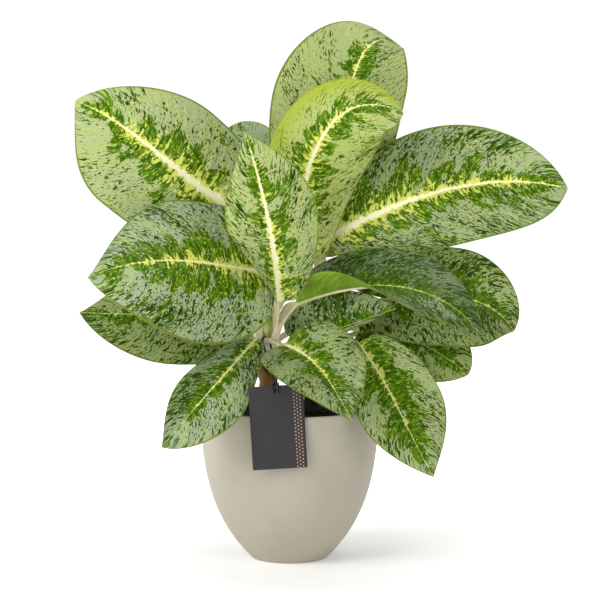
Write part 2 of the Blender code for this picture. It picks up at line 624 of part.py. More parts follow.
def cord_route():
    """The cord's loop: hitched through the card's hole and over its top edge, and round a petiole."""
    to_world = tag_matrix()
    top = TAG_HEIGHT / 2
    hitch = [np.array(to_world @ (Vector((x, y, top + z)) * MM)) / MM for x, y, z in HITCH]
    mirrored = [np.array(to_world @ (Vector((-x, y, top + z)) * MM)) / MM for x, y, z in HITCH[:-1]]
    leaf = LEAVES[CORD_LEAF]
    places, radii = petiole_route(leaf, Midrib(leaf["midrib"], leaf["face"]))
    hold, tangent = places[CORD_RING], unit(places[CORD_RING + 1] - places[CORD_RING - 1])
    pull = hitch[0] - hold
    pull = unit(pull - np.dot(pull, tangent) * tangent)
    aside = np.cross(tangent, pull)
    reach = radii[CORD_RING] + CORD_RADIUS + GAP
    if np.dot(aside, hitch[0] - mirrored[0]) < 0:
        aside = -aside
    around = [
        hold + reach * (math.sin(turn) * aside - math.cos(turn) * pull)
        for turn in np.radians((-90, -45, 0, 45, 90))
    ]
    return around + hitch + mirrored[::-1]


def build_cord(made):
    """The cord as a closed loop of even thickness, read from a smooth curve through its route."""
    points = cord_route()
    count = len(points)
    smooth = []
    for k in range(count):
        before, here, there, after = (points[(k + j) % count] for j in (-1, 0, 1, 2))
        span = np.linalg.norm(there - here)
        steps = int(np.clip(round(span / CORD_STEP), *CORD_STEPS))
        out, into = unit(there - before) * span / 3, unit(after - here) * span / 3
        smooth.extend(bezier(here, here + out, there - into, there, np.arange(steps) / steps))
    curve = bpy.data.curves.new("tag_cord", "CURVE")
    curve.dimensions = "3D"
    curve.bevel_depth = CORD_RADIUS * MM
    curve.bevel_resolution = 2
    curve.resolution_u = 1
    curve.render_resolution_u = 0
    spline = curve.splines.new("POLY")
    spline.points.add(len(smooth) - 1)
    for point, place in zip(spline.points, smooth):
        point.co = (*(place * MM), 1.0)
    spline.use_cyclic_u = True
    curve.materials.append(made)
    placed = bpy.data.objects.new("tag_cord", curve)
    bpy.context.scene.collection.objects.link(placed)
    return placed


def main():
    """Clears the scene and models the plant."""
    for old in list(bpy.data.objects):
        bpy.data.objects.remove(old)
    build_pot()
    build_liner()
    build_soil()
    cane_green = material("cane_green", STALK, 0.5)
    for name, cane in CANES.items():
        build_cane(name, cane["radius"], CANE_FOOT, cane["top"][2], CANE_TAPER, cane_green)
    blade_green = material("blade_green", GREEN, 0.4)
    for name, leaf in LEAVES.items():
        build_leaf(name, leaf, blade_green)
    build_young_leaf(material("young_green", (0.55, 0.66, 0.2), 0.45))
    build_tag(material("card_grey", (0.08, 0.07, 0.075), 0.7))
    build_cord(material("cord_black", (0.01, 0.01, 0.01), 0.8))


main()
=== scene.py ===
"""Dresses the potted chinese evergreen: leaves and their marks, stalks, canes, soil, pots, hang tag and cord.

Frame: metres, the origin under the middle of the pot's foot, +Z up, the front towards -Y. Sizes of the
plant's pieces are given in millimetres, and MM turns them into metres.
"""
from __future__ import annotations

import logging
import math
from dataclasses import dataclass
from enum import Enum
from typing import Callable, Sequence

import bpy
import numpy as np
from mathutils import Matrix, Vector

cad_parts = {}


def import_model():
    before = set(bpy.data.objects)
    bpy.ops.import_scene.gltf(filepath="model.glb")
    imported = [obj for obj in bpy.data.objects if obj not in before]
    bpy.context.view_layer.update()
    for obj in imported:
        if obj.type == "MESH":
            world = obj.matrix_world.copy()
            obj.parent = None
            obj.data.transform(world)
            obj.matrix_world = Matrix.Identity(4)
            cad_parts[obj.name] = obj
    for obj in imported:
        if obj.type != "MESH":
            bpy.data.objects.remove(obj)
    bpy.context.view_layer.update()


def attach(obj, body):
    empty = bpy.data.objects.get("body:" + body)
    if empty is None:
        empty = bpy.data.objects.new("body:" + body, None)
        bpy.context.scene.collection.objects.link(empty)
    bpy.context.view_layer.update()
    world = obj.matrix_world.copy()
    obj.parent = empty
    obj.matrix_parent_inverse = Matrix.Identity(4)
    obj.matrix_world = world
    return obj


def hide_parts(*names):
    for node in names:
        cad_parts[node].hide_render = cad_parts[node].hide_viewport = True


LOG = logging.getLogger("evergreen")
MM = 0.001
FULL_TURN = 2 * math.pi
VEIN_SPACING = 7.0
ROOT_BODY = "root"

Array = np.ndarray
Thing = bpy.types.Object
Material = bpy.types.Material
Point = tuple[float, float, float]
Route = tuple[Point, Point, Point, Point]
Pair = tuple[float, float]
Quad = tuple[float, float, float, float]
Colour = tuple[float, float, float]

WHITE: Colour = (1.0, 1.0, 1.0)


class Half(Enum):
    """The two halves of a blade, as seen on the upper face with the tip up."""

    LEFT = 0
    RIGHT = 1

    @property
    def sign(self) -> int:
        """Which way the half runs from the midrib."""
        return -1 if self is Half.LEFT else 1


def srgb(red: float, green: float, blue: float) -> Colour:
    """Turns a colour as seen on a screen, 0 to 255, into a linear colour, 0 to 1."""
    shares = (channel / 255 for channel in (red, green, blue))
    return tuple(s / 12.92 if s <= 0.04045 else ((s + 0.055) / 1.055) ** 2.4 for s in shares)


def unit(vectors: Array) -> Array:
    """The vectors at unit length."""
    return vectors / np.linalg.norm(vectors, axis=-1, keepdims=True)


def along(points: Sequence[Point], shares: Array) -> Array:
    """Reads a smooth curve through three or four given points.

    Args:
        points: The points that the curve runs through.
        shares: Where to read it, from 0 at the first point to 1 at the last.

    Returns:
        The places, one row for each share.
    """
    knots = distances(np.asarray(points, float))
    knots /= knots[-1]
    places = np.zeros((len(shares), 3))
    for i, point in enumerate(points):
        weight = np.ones_like(shares)
        for j, knot in enumerate(knots):
            if i != j:
                weight = weight * (shares - knot) / (knots[i] - knot)
        places += weight[:, None] * np.asarray(point, float)
    return places


def bezier(corners: Sequence[Sequence[float]], shares: Array) -> Array:
    """Reads a cubic Bezier curve.

    Args:
        corners: Its four control points.
        shares: Where to read it, from 0 to 1.

    Returns:
        The places, one row for each share.
    """
    a, b, c, d = (np.asarray(corner, float) for corner in corners)
    t = np.asarray(shares, float)[:, None]
    return (1 - t) ** 3 * a + 3 * t * (1 - t) ** 2 * b + 3 * t * t * (1 - t) * c + t ** 3 * d


def smooth_share(values: Array, low: float, high: float) -> Array:
    """Goes from 0 at low to 1 at high with soft ends."""
    share = np.clip((values - low) / (high - low), 0, 1)
    return share * share * (3 - 2 * share)


def distances(places: Array) -> Array:
    """How far along a line of places each one lies."""
    return np.concatenate([[0.0], np.cumsum(np.linalg.norm(np.diff(places, axis=0), axis=1))])


def carried(tangents: Array, start: Array) -> Array:
    """Carries a direction along a line without twist, square to the line at each place.

    Args:
        tangents: The line's direction at each place.
        start: The direction to start from.

    Returns:
        The direction at each place.
    """
    direction = start
    held = []
    for tangent in tangents:
        direction = unit(direction - np.dot(direction, tangent) * tangent)
        held.append(direction)
    return np.array(held)


def angles_round(sides: int) -> Array:
    """Angles once round a section, the last one the same as the first, so that the section closes."""
    return np.append(np.linspace(0, FULL_TURN, sides, endpoint=False), 0.0)


def upright_rings(radius: float | Array, turn: Array, height: float | Array) -> Array:
    """Places round the Z axis, for radii and heights given as a number or as a column."""
    return np.stack(np.broadcast_arrays(radius * np.cos(turn), radius * np.sin(turn), height), -1)


def clear_selection() -> None:
    """Leaves edit mode and deselects everything."""
    if bpy.context.mode != "OBJECT":
        bpy.ops.object.mode_set(mode="OBJECT")
    bpy.ops.object.select_all(action="DESELECT")


def activate(piece: Thing) -> None:
    """Selects one piece alone and makes it the active one.

    Args:
        piece: The piece.
    """
    clear_selection()
    piece.select_set(True)
    bpy.context.view_layer.objects.active = piece


def name_added(name: str) -> Thing:
    """Names the piece that was just added, and its mesh.

    Args:
        name: The name.

    Returns:
        The piece.
    """
    piece = bpy.context.active_object
    piece.name = name
    piece.data.name = name
    return piece


def edit_whole(piece: Thing, *steps: Callable[[], object]) -> None:
    """Runs edit-mode steps on the whole of a piece.

    Args:
        piece: The piece to work on.
        *steps: Calls that act on what is selected.
    """
    activate(piece)
    bpy.ops.object.mode_set(mode="EDIT")
    bpy.ops.mesh.select_all(action="SELECT")
    for step in steps:
        step()
    bpy.ops.object.mode_set(mode="OBJECT")


def apply_modifiers(piece: Thing) -> None:
    """Applies every modifier of a piece in turn.

    Args:
        piece: The piece.
    """
    activate(piece)
    for modifier in list(piece.modifiers):
        bpy.ops.object.modifier_apply(modifier=modifier.name)


def drop_layouts(piece: Thing) -> None:
    """Takes away the UV maps that a primitive comes with."""
    while piece.data.uv_layers:
        piece.data.uv_layers.remove(piece.data.uv_layers[0])


def read_places(piece: Thing) -> Array:
    """Reads the places of a piece's points.

    Args:
        piece: The piece.

    Returns:
        One row for each point, in metres.
    """
    flat = np.empty(len(piece.data.vertices) * 3)
    piece.data.vertices.foreach_get("co", flat)
    return flat.reshape(-1, 3)


def dress(piece: Thing, *finishes: Material) -> None:
    """Gives a piece its materials.

    Args:
        piece: The piece.
        *finishes: One material for each slot.
    """
    piece.data.materials.clear()
    for finish in finishes:
        piece.data.materials.append(finish)


def dress_smooth(piece: Thing, degrees: float, *finishes: Material) -> Thing:
    """Dresses a piece and shades it smooth, with its edges sharp above an angle.

    Args:
        piece: The piece.
        degrees: The angle.
        *finishes: One material for each slot. With none, the piece keeps what it has.

    Returns:
        The piece.
    """
    if finishes:
        dress(piece, *finishes)
    activate(piece)
    bpy.ops.object.shade_smooth_by_angle(angle=math.radians(degrees))
    return piece


def join_pieces(pieces: Sequence[Thing], name: str) -> Thing:
    """Joins pieces into the first one.

    Args:
        pieces: The pieces to join.
        name: The joined piece's name.

    Returns:
        The joined piece.
    """
    activate(pieces[0])
    for piece in pieces:
        piece.select_set(True)
    bpy.ops.object.join()
    return name_added(name)


def model_sheet(name: str, places: Array, marks: dict[str, Array], closed: bool) -> Thing:
    """Shapes a grid primitive to rows of places.

    Args:
        name: The piece's name.
        places: Rows by columns of places in millimetres.
        marks: Vector attributes by name, laid out as the places are.
        closed: Whether the rows are rings round a closed body.

    Returns:
        The piece, with its doubled points merged.
    """
    rows, columns = places.shape[0] - 1, places.shape[1] - 1
    clear_selection()
    bpy.ops.mesh.primitive_grid_add(x_subdivisions=columns, y_subdivisions=rows, size=1.0)
    piece = name_added(name)
    flat = read_places(piece) + 0.5
    column = np.rint(flat[:, 0] * columns).astype(int)
    row = np.rint(flat[:, 1] * rows).astype(int)
    piece.data.vertices.foreach_set("co", (places[row, column] * MM).ravel())
    for mark, values in marks.items():
        held = piece.data.attributes.new(mark, "FLOAT_VECTOR", "POINT")
        held.data.foreach_set("vector", values[row, column].astype(np.float32).ravel())
    drop_layouts(piece)
    steps = [lambda: bpy.ops.mesh.remove_doubles(threshold=1e-6)]
    if closed:
        steps.append(lambda: bpy.ops.mesh.normals_make_consistent(inside=False))
    edit_whole(piece, *steps)
    return piece


def model_tube(name: str, rings: Array, marks: dict[str, Array]) -> Thing:
    """Models a closed body from its rings, with each end drawn in to a point.

    Args:
        name: The piece's name.
        rings: Rings by places in millimetres.
        marks: Vector attributes by name, laid out as the places are.

    Returns:
        The piece.
    """
    first, last = (np.broadcast_to(end.mean(axis=0), end.shape)[None] for end in (rings[0], rings[-1]))
    rings = np.concatenate([first, rings, last])
    marks = {mark: np.concatenate([held[:1], held, held[-1:]]) for mark, held in marks.items()}
    return model_sheet(name, rings, marks, closed=True)


def model_turned(name: str, profile: Sequence[Pair], sides: int) -> Thing:
    """Models a round body by extruding a disc along a profile.

    Args:
        name: The piece's name.
        profile: Radius and height of each ring in millimetres, from the first disc to the last.
        sides: How many sides each ring has.

    Returns:
        The closed piece.
    """
    clear_selection()
    radius, height = profile[0]
    bpy.ops.mesh.primitive_circle_add(
        vertices=sides, radius=radius * MM, fill_type="NGON", location=(0, 0, height * MM))
    piece = name_added(name)
    bpy.ops.object.transform_apply(location=True, rotation=True, scale=True)

    def raise_rings() -> None:
        """Extrudes the disc from each ring to the next."""
        for (was, low), (radius, high) in zip(profile, profile[1:]):
            bpy.ops.mesh.extrude_region_move(TRANSFORM_OT_translate={"value": (0, 0, (high - low) * MM)})
            bpy.ops.transform.resize(
                value=(radius / was, radius / was, 1), center_override=(0, 0, high * MM))

    edit_whole(
        piece, raise_rings, lambda: bpy.ops.mesh.select_all(action="SELECT"),
        lambda: bpy.ops.mesh.normals_make_consistent(inside=False))
    return piece


@dataclass(frozen=True)
class Value:
    """What a node puts out, with sums written as for plain numbers."""

    graph: Graph
    socket: bpy.types.NodeSocket

    def __add__(self, other: Amount) -> Value:
        """The sum of the two."""
        return self.graph.math("ADD", self, other)

    def __sub__(self, other: Amount) -> Value:
        """This less the other."""
        return self.graph.math("SUBTRACT", self, other)

    def __mul__(self, other: Amount) -> Value:
        """The product of the two."""
        return self.graph.math("MULTIPLY", self, other)

    def __truediv__(self, other: Amount) -> Value:
        """This divided by the other."""
        return self.graph.math("DIVIDE", self, other)

    def __abs__(self) -> Value:
        """This without its sign."""
        return self.graph.math("ABSOLUTE", self)

    def at_least(self, other: Amount) -> Value:
        """The larger of the two."""
        return self.graph.math("MAXIMUM", self, other)

    def at_most(self, other: Amount) -> Value:
        """The smaller of the two."""
        return self.graph.math("MINIMUM", self, other)

    def step(self, low: Amount, high: Amount) -> Value:
        """A soft step from 0 at low to 1 at high."""
        feeds = {"Value": self, "From Min": low, "From Max": high}
        return self.graph.value("ShaderNodeMapRange", feeds, interpolation_type="SMOOTHSTEP")


Amount = Value | float


@dataclass(frozen=True)
class Grain:
    """Noise that is longer one way: how fine it is along and across that way, and which part of it is used.

    detail and roughness are the noise's own, and soft is how soft the edge of a mask cut from it is.
    """

    along: float
    across: float
    part: float = 0.0
    detail: float = 2.0
    roughness: float = 0.5
    soft: float = 0.03


@dataclass
class Graph:
    """Adds and links the nodes of one shader tree."""

    tree: bpy.types.NodeTree

    def fill(self, node: bpy.types.Node, feeds: dict) -> None:
        """Links values to a node's inputs, or sets the inputs.

        Args:
            node: The node.
            feeds: Values, numbers or colours for its inputs, by name or place.
        """
        for name, value in feeds.items():
            socket = node.inputs[name]
            if isinstance(value, Value):
                self.tree.links.new(value.socket, socket)
            elif socket.type == "RGBA":
                socket.default_value = (*value, 1.0)
            else:
                socket.default_value = value

    def add(self, kind: str, feeds: dict | None = None, **settings: object) -> bpy.types.Node:
        """Adds a node.

        Args:
            kind: Blender's name for the node's type.
            feeds: What its inputs get, by name or place.
            **settings: Its settings.

        Returns:
            The node.
        """
        node = self.tree.nodes.new(kind)
        for name, setting in settings.items():
            setattr(node, name, setting)
        self.fill(node, feeds or {})
        return node

    def value(self, kind: str, feeds: dict | None = None, output: int | str = 0, **settings: object) -> Value:
        """Adds a node as add does, and takes one of its outputs, by name or place."""
        return Value(self, self.add(kind, feeds, **settings).outputs[output])

    def math(self, operation: str, *values: Amount) -> Value:
        """A math node's result."""
        return self.value("ShaderNodeMath", dict(enumerate(values)), operation=operation)

    def parts(self, vector: Value) -> tuple[Value, ...]:
        """The three parts of a vector."""
        return tuple(Value(self, part) for part in self.add("ShaderNodeSeparateXYZ", {0: vector}).outputs)

    def vector(self, *parts: Amount) -> Value:
        """A vector from its three parts."""
        return self.value("ShaderNodeCombineXYZ", dict(enumerate(parts)))

    def noise(self, vector: Value, scale: Amount = 1.0, detail: float = 2.0, roughness: float = 0.5) -> Value:
        """Smooth noise from 0 to 1."""
        feeds = {"Vector": vector, "Scale": scale, "Detail": detail, "Roughness": roughness}
        return self.value("ShaderNodeTexNoise", feeds)

    def grained(self, parts: Sequence[Value], grain: Grain) -> Value:
        """Smooth noise stretched as a grain says, on the three parts of a vector."""
        place = self.vector(parts[0] * grain.along, parts[1] * grain.across, parts[2] + grain.part)
        return self.noise(place, detail=grain.detail, roughness=grain.roughness)

    def mix(self, share: Amount, first: Value | Colour, second: Value | Colour) -> Value:
        """A mix of two colours."""
        return self.value("ShaderNodeMix", {0: share, 6: first, 7: second}, output=2, data_type="RGBA")

    def attribute(self, name: str) -> Value:
        """A vector attribute of the piece."""
        return self.value("ShaderNodeAttribute", output="Vector", attribute_name=name)

    def object_place(self) -> Value:
        """The place on the piece, in metres."""
        return self.value("ShaderNodeTexCoord", output="Object")

    def group(self, tree: bpy.types.NodeTree, feeds: dict) -> dict[str, Value]:
        """Places a node group, and gives its outputs by name."""
        node = self.add("ShaderNodeGroup", feeds, node_tree=tree)
        return {socket.name: Value(self, socket) for socket in node.outputs}

    def bump(self, height: Value, distance: float, strength: float) -> Value:
        """A normal bent by a height."""
        return self.value("ShaderNodeBump", {"Height": height, "Distance": distance, "Strength": strength})


class Effect(Graph):
    """A shader node group with named inputs and outputs."""

    def __init__(self, name: str, inputs: dict[str, str], outputs: dict[str, str]) -> None:
        """Starts the group.

        Args:
            name: The group's name.
            inputs: The kind of each input, by name.
            outputs: The kind of each output, by name.
        """
        super().__init__(bpy.data.node_groups.new(name, "ShaderNodeTree"))
        for in_out, sockets in (("INPUT", inputs), ("OUTPUT", outputs)):
            for socket, kind in sockets.items():
                self.tree.interface.new_socket(name=socket, in_out=in_out, socket_type="NodeSocket" + kind)
        entry = self.add("NodeGroupInput")
        self.given = {socket: Value(self, entry.outputs[socket]) for socket in inputs}

    def put_out(self, values: dict[str, Value]) -> None:
        """Feeds the group's outputs, by name."""
        self.add("NodeGroupOutput", values)


class SharedEffects:
    """Node groups that more than one finish uses, each built once."""

    FLECK_ROUGHNESS = 0.6
    FLECK_DISTORTION = 0.35
    VEIN_WANDER = Grain(0.05, 0.08, detail=1.0)
    VEIN_FIBRES = Grain(0.15, 2.4, part=5.0, detail=1.0)
    WANDER_STEPS = 1.6
    VEIN_RISE = 0.35

    def __init__(self) -> None:
        """Builds the groups."""
        self.fleck_group = self.build_flecks()
        self.grain_group = self.build_grain()
        self.vein_group = self.build_side_veins()

    def build_flecks(self) -> bpy.types.NodeTree:
        """Flecks that are longer one way: a mask cut from stretched noise.

        Returns:
            The node group.
        """
        scalars = ("Along", "Across", "Variant", "Bias", "Softness", "Detail")
        effect = Effect(
            "Stretched flecks", {"Vector": "Vector", **dict.fromkeys(scalars, "Float")},
            {"Mask": "Float", "Noise": "Float"})
        given = effect.given
        x, y, z = effect.parts(given["Vector"])
        place = effect.vector(x * given["Along"], y * given["Across"], z + given["Variant"])
        noise = effect.value("ShaderNodeTexNoise", {
            "Vector": place, "Scale": 1.0, "Detail": given["Detail"], "Roughness": self.FLECK_ROUGHNESS,
            "Distortion": self.FLECK_DISTORTION})
        mask = (noise + given["Bias"]).step(0.5, given["Softness"] + 0.5)
        effect.put_out({"Mask": mask, "Noise": noise})
        return effect.tree

    @staticmethod
    def build_grain() -> bpy.types.NodeTree:
        """Fine even grain: a value round 0.5, as on matte mouldings and card.

        Returns:
            The node group.
        """
        effect = Effect(
            "Fine grain", {"Vector": "Vector", "Scale": "Float", "Contrast": "Float"}, {"Value": "Float"})
        fine = effect.noise(effect.given["Vector"], effect.given["Scale"], detail=3.0)
        effect.put_out({"Value": (fine - 0.5) * effect.given["Contrast"] + 0.5})
        return effect.tree

    def build_side_veins(self) -> bpy.types.NodeTree:
        """The side veins of a blade: fine raised lines that fade at the midrib and the margin.

        Returns:
            The node group.
        """
        effect = Effect(
            "Side veins", {"Vein": "Vector", "Place": "Vector", "Spacing": "Float"},
            {"Height": "Float", "Line": "Float"})
        vein = effect.parts(effect.given["Vein"])
        across = effect.parts(effect.given["Place"])[0]
        wander = effect.grained(vein, self.VEIN_WANDER) * self.WANDER_STEPS
        wave = effect.math("COSINE", (vein[1] / effect.given["Spacing"] + wander) * FULL_TURN)
        fade = across.step(0.02, 0.12) * across.step(1.0, 0.8)
        height = (wave + effect.grained(vein, self.VEIN_FIBRES)) * self.VEIN_RISE
        effect.put_out({"Height": height * fade, "Line": wave.step(0.72, 1.0) * fade})
        return effect.tree

    def flecks(self, graph: Graph, vector: Value, grain: Grain, bias: Amount) -> dict[str, Value]:
        """Places the flecks of a grain, denser with more bias, and gives their mask and noise by name."""
        return graph.group(self.fleck_group, {
            "Vector": vector, "Along": grain.along, "Across": grain.across, "Variant": grain.part,
            "Bias": bias, "Softness": grain.soft, "Detail": grain.detail})

    def grain(self, graph: Graph, vector: Value, scale: float, contrast: float) -> Value:
        """Places the fine grain."""
        feeds = {"Vector": vector, "Scale": scale, "Contrast": contrast}
        return graph.group(self.grain_group, feeds)["Value"]

    def side_veins(self, graph: Graph) -> dict[str, Value]:
        """Places the side veins on a blade, and gives their height and line by name."""
        return graph.group(self.vein_group, {
            "Vein": graph.attribute("vein"), "Place": graph.attribute("place"), "Spacing": VEIN_SPACING})


class Finish(Graph):
    """A material: a Principled shader, its gloss and the nodes that feed it."""

    NAME = ""
    GLOSS = 0.5

    def __init__(self, effects: SharedEffects) -> None:
        """Builds the material.

        Args:
            effects: The shared node groups.
        """
        self.effects = effects
        self.material = bpy.data.materials.new(self.NAME)
        self.material.use_nodes = True
        super().__init__(self.material.node_tree)
        self.paint()

    def coat(self, feeds: dict) -> None:
        """Feeds the shader's inputs, by name, beside its gloss."""
        self.fill(self.tree.nodes["Principled BSDF"], {"Specular IOR Level": self.GLOSS, **feeds})

    def paint(self) -> None:
        """Paints the surface."""
        raise NotImplementedError


@dataclass(frozen=True)
class BladeColours:
    """Colours of a blade's two faces and of its stalk."""

    silver: Colour = srgb(168, 181, 134)
    # painted sheen: the cooler grey of a patchy sheen on the silver
    silver_painted_sheen: Colour = srgb(160, 173, 150)
    silver_warm: Colour = srgb(176, 187, 98)
    fleck: Colour = srgb(34, 58, 4)
    fleck_light: Colour = srgb(74, 108, 10)
    green: Colour = srgb(52, 88, 0)
    green_light: Colour = srgb(92, 128, 6)
    speck: Colour = srgb(158, 180, 84)
    yellow: Colour = srgb(208, 212, 96)
    cream: Colour = srgb(236, 232, 190)
    margin: Colour = srgb(112, 128, 48)
    # painted light shining through the blade, in yellow-green
    painted_glow: Colour = srgb(150, 166, 40)
    # painted shading: the dark green that halves are darkened towards, in part the leaves' own darker green
    painted_shade: Colour = srgb(30, 56, 14)
    under: Colour = srgb(96, 132, 30)
    under_light: Colour = srgb(126, 156, 48)
    stalk: Colour = srgb(204, 200, 146)
    stalk_cream: Colour = srgb(238, 222, 196)
    stalk_dry: Colour = srgb(150, 104, 48)


PAINT = BladeColours()


class Variegation(Effect):
    """The marks of a leaf's upper face: silver ground, green flecks and zone, yellow streaks, cream midrib.

    Vein holds millimetres out along the veins and along the midrib, and the leaf's own number. Place holds
    the shares across and along the blade, and how warm its silver is. Marks and Tone hold the leaf's amounts:
    zone, flecks and cream width; and painted light shining through, depth of painted shading and the
    streaks' reach.
    """

    CLOUD = Grain(0.03, 0.045, part=2.0, detail=1.0)
    FEATHER = Grain(0.12, 0.3, part=9.0, detail=3.0)
    ZONE = Grain(0.06, 0.09, part=3.0, detail=3.0)
    COARSE_FLECKS = Grain(0.2, 0.34, part=13.0, detail=1.5)
    FINE_FLECKS = Grain(0.45, 0.85, part=7.0, detail=1.5)
    SPECKS = Grain(0.3, 0.6, part=17.0)
    SPURTS = Grain(0.0, 0.11, part=27.0)
    STREAKS = Grain(0.19, 0.36, part=11.0, detail=3.5, soft=0.06)
    EDGE = Grain(0.12, 0.3, part=21.0, detail=4.0, roughness=0.7)
    RIM = Grain(0.2, 0.5, part=51.0)
    RIM_SHARE = 0.12
    EDGE_SOFT = 0.35
    SIDE_VEINS = Grain(0.012, 0.15, part=61.0, detail=1.0)
    CHAIN = Grain(0.25, 0.3, part=71.0)
    CHAIN_REACH = 1.7
    CHAIN_FADE = 8.0
    # a patchy painted sheen on the silver
    SHEEN_PATCHES = Grain(0.035, 0.07, part=41.0)
    DUST = Grain(0.8, 1.3, part=81.0)
    DUST_SHARE = 0.3

    def __init__(self, effects: SharedEffects) -> None:
        """Builds the group.

        Args:
            effects: The shared node groups.
        """
        super().__init__(
            "Variegation", dict.fromkeys(("Vein", "Place", "Marks", "Tone"), "Vector"),
            {"Color": "Color", "Green": "Float"})
        self.effects = effects
        self.vein = self.parts(self.given["Vein"])
        self.out_mm = abs(self.vein[0])
        self.across, self.lengthways, self.warmth = self.parts(self.given["Place"])
        self.zone, self.flecks, self.cream = self.parts(self.given["Marks"])
        # painted light shining through, depth of painted shading, and the yellow streaks' reach
        self.painted_glow, self.depth, self.reach = self.parts(self.given["Tone"])
        self.cloud = self.grained(self.vein, self.CLOUD) - 0.5
        self.build()

    def mask(self, grain: Grain, bias: Amount) -> Value:
        """A mask of flecks on the blade."""
        return self.effects.flecks(self, self.given["Vein"], grain, bias)["Mask"]

    def within(self, width: Value) -> Value:
        """A mask of what lies within a width of the midrib."""
        return (width - self.out_mm).step(-self.EDGE_SOFT, self.EDGE_SOFT)

    def green_zone(self) -> Value:
        """The mask of the dark green zone that feathers out from the midrib."""
        out = (self.zone * (self.lengthways * -0.3 + 1.0) - self.across) * 0.6
        return self.mask(self.ZONE, out.at_least(-0.16).at_most(0.12) + self.cloud * 0.3)

    def green_flecks(self) -> Value:
        """The mask of the dark flecks on the silver."""
        bias = self.flecks + self.cloud * 0.35 - 0.085
        return self.mask(self.FINE_FLECKS, bias - 0.005).at_least(self.mask(self.COARSE_FLECKS, bias - 0.025))

    def yellow_streaks(self) -> Value:
        """The mask of the streaks that spurt from the midrib along the side veins."""
        reach = (self.reach * (self.grained(self.vein, self.SPURTS) * 6.5 - 2.4)).at_least(0.3)
        return self.mask(self.STREAKS, (self.out_mm / reach * -0.18 + 0.1).at_least(-0.15))

    def yellow_chains(self) -> Value:
        """The broken fine lines that follow single side veins.

        Returns:
            Their mask.
        """
        line = abs(self.grained(self.vein, self.SIDE_VEINS) - 0.5).step(0.016, 0.008)
        near = (self.reach * self.CHAIN_REACH - self.out_mm).step(0.0, self.CHAIN_FADE)
        return line * self.mask(self.CHAIN, -0.01) * near

    def ground(self) -> Value:
        """The silver ground, with a patchy painted sheen of cooler grey and fine green dust.

        Its silver is warmer on warmer leaves.

        Returns:
            Its colour.
        """
        # a patchy painted sheen of cooler grey on the silver
        sheen_patches = self.grained(self.vein, self.SHEEN_PATCHES).step(0.4, 0.65)
        ground = self.mix(sheen_patches, PAINT.silver, PAINT.silver_painted_sheen)
        ground = self.mix(self.warmth, ground, PAINT.silver_warm)
        dust = self.grained(self.vein, self.DUST).step(0.42, 0.66) * self.DUST_SHARE
        return self.mix(dust, ground, PAINT.green_light)

    def build(self) -> None:
        """Lays the marks over each other."""
        feather = self.grained(self.vein, self.FEATHER)
        edge = self.grained(self.vein, self.EDGE)
        core = self.within(self.cream * (edge * 4.4 - 1.3))
        rim_edge = edge.at_least(self.grained(self.vein, self.RIM))
        rim = self.within((self.cream + self.reach * self.RIM_SHARE) * (rim_edge * 4.6 - 1.75))
        yellow = rim.at_least(self.yellow_streaks()).at_least(self.yellow_chains())
        zone, flecks = self.green_zone(), self.green_flecks()
        specks = self.mask(self.SPECKS, self.across * 0.12 - 0.12) * zone
        layers = (
            (flecks, self.mix(feather.step(0.4, 0.6), PAINT.fleck, PAINT.fleck_light)),
            (zone, self.mix(feather.step(0.42, 0.62), PAINT.green, PAINT.green_light)),
            (specks, PAINT.speck),
            (yellow, PAINT.yellow),
            (core, PAINT.cream),
            (self.across.step(0.965, 0.985), PAINT.margin),
            # painted light shining through the blade
            (self.painted_glow, PAINT.painted_glow),
            # painted shading, in part the leaves' own darker green
            (self.depth, PAINT.painted_shade))
        colour = self.ground()
        for share, layer in layers:
            colour = self.mix(share, colour, layer)
        self.put_out({"Color": colour, "Green": zone.at_least(flecks)})


class UpperFinish(Finish):
    """The upper face of a leaf: satin, with its marks and fine side veins."""

    NAME = "leaf upper face"
    GLOSS = 0.07

    def paint(self) -> None:
        """Paints the surface."""
        names = ("Vein", "Place", "Marks", "Tone")
        marks = self.group(
            Variegation(self.effects).tree, {name: self.attribute(name.lower()) for name in names})
        veins = self.effects.side_veins(self)
        self.coat({
            "Base Color": marks["Color"], "Roughness": marks["Green"] * -0.1 + 0.5,
            "Normal": self.bump(veins["Height"], distance=0.0006, strength=0.5)})


class UndersideFinish(Finish):
    """The underside of a leaf: plain green with paler side veins."""

    NAME = "leaf underside"
    GLOSS = 0.1
    CLOUD = Grain(0.05, 0.08, part=31.0)

    def paint(self) -> None:
        """Paints the surface."""
        veins = self.effects.side_veins(self)
        cloud = self.grained(self.parts(self.attribute("vein")), self.CLOUD)
        colour = self.mix(cloud.step(0.3, 0.7), PAINT.under, PAINT.under_light)
        self.coat({
            "Base Color": self.mix(veins["Line"] * 0.15, colour, PAINT.stalk),
            "Roughness": cloud * 0.1 + 0.5,
            "Normal": self.bump(veins["Height"], distance=0.0006, strength=0.6)})


class StalkFinish(Finish):
    """The stalk: pale green with cream streaks along it, creamier towards the sheath and dry at its foot."""

    NAME = "leaf stalk"
    GLOSS = 0.4
    STREAKS = Grain(0.35, 0.35, soft=0.2)
    CREAM_SHARE = 0.9
    DRY_BELOW = (0.165, 0.153)

    def paint(self) -> None:
        """Paints the surface."""
        streaks = self.effects.flecks(self, self.attribute("grain"), self.STREAKS, 0.02)
        sheath = self.parts(self.attribute("place"))[2]
        cream = streaks["Mask"].at_least(sheath) * self.CREAM_SHARE
        height = self.parts(self.object_place())[2]
        colour = self.mix(cream, PAINT.stalk, PAINT.stalk_cream)
        self.coat({
            "Base Color": self.mix(height.step(*self.DRY_BELOW), colour, PAINT.stalk_dry),
            "Roughness": streaks["Noise"] * 0.15 + 0.38,
            "Normal": self.bump(streaks["Noise"], distance=0.0004, strength=0.5)})


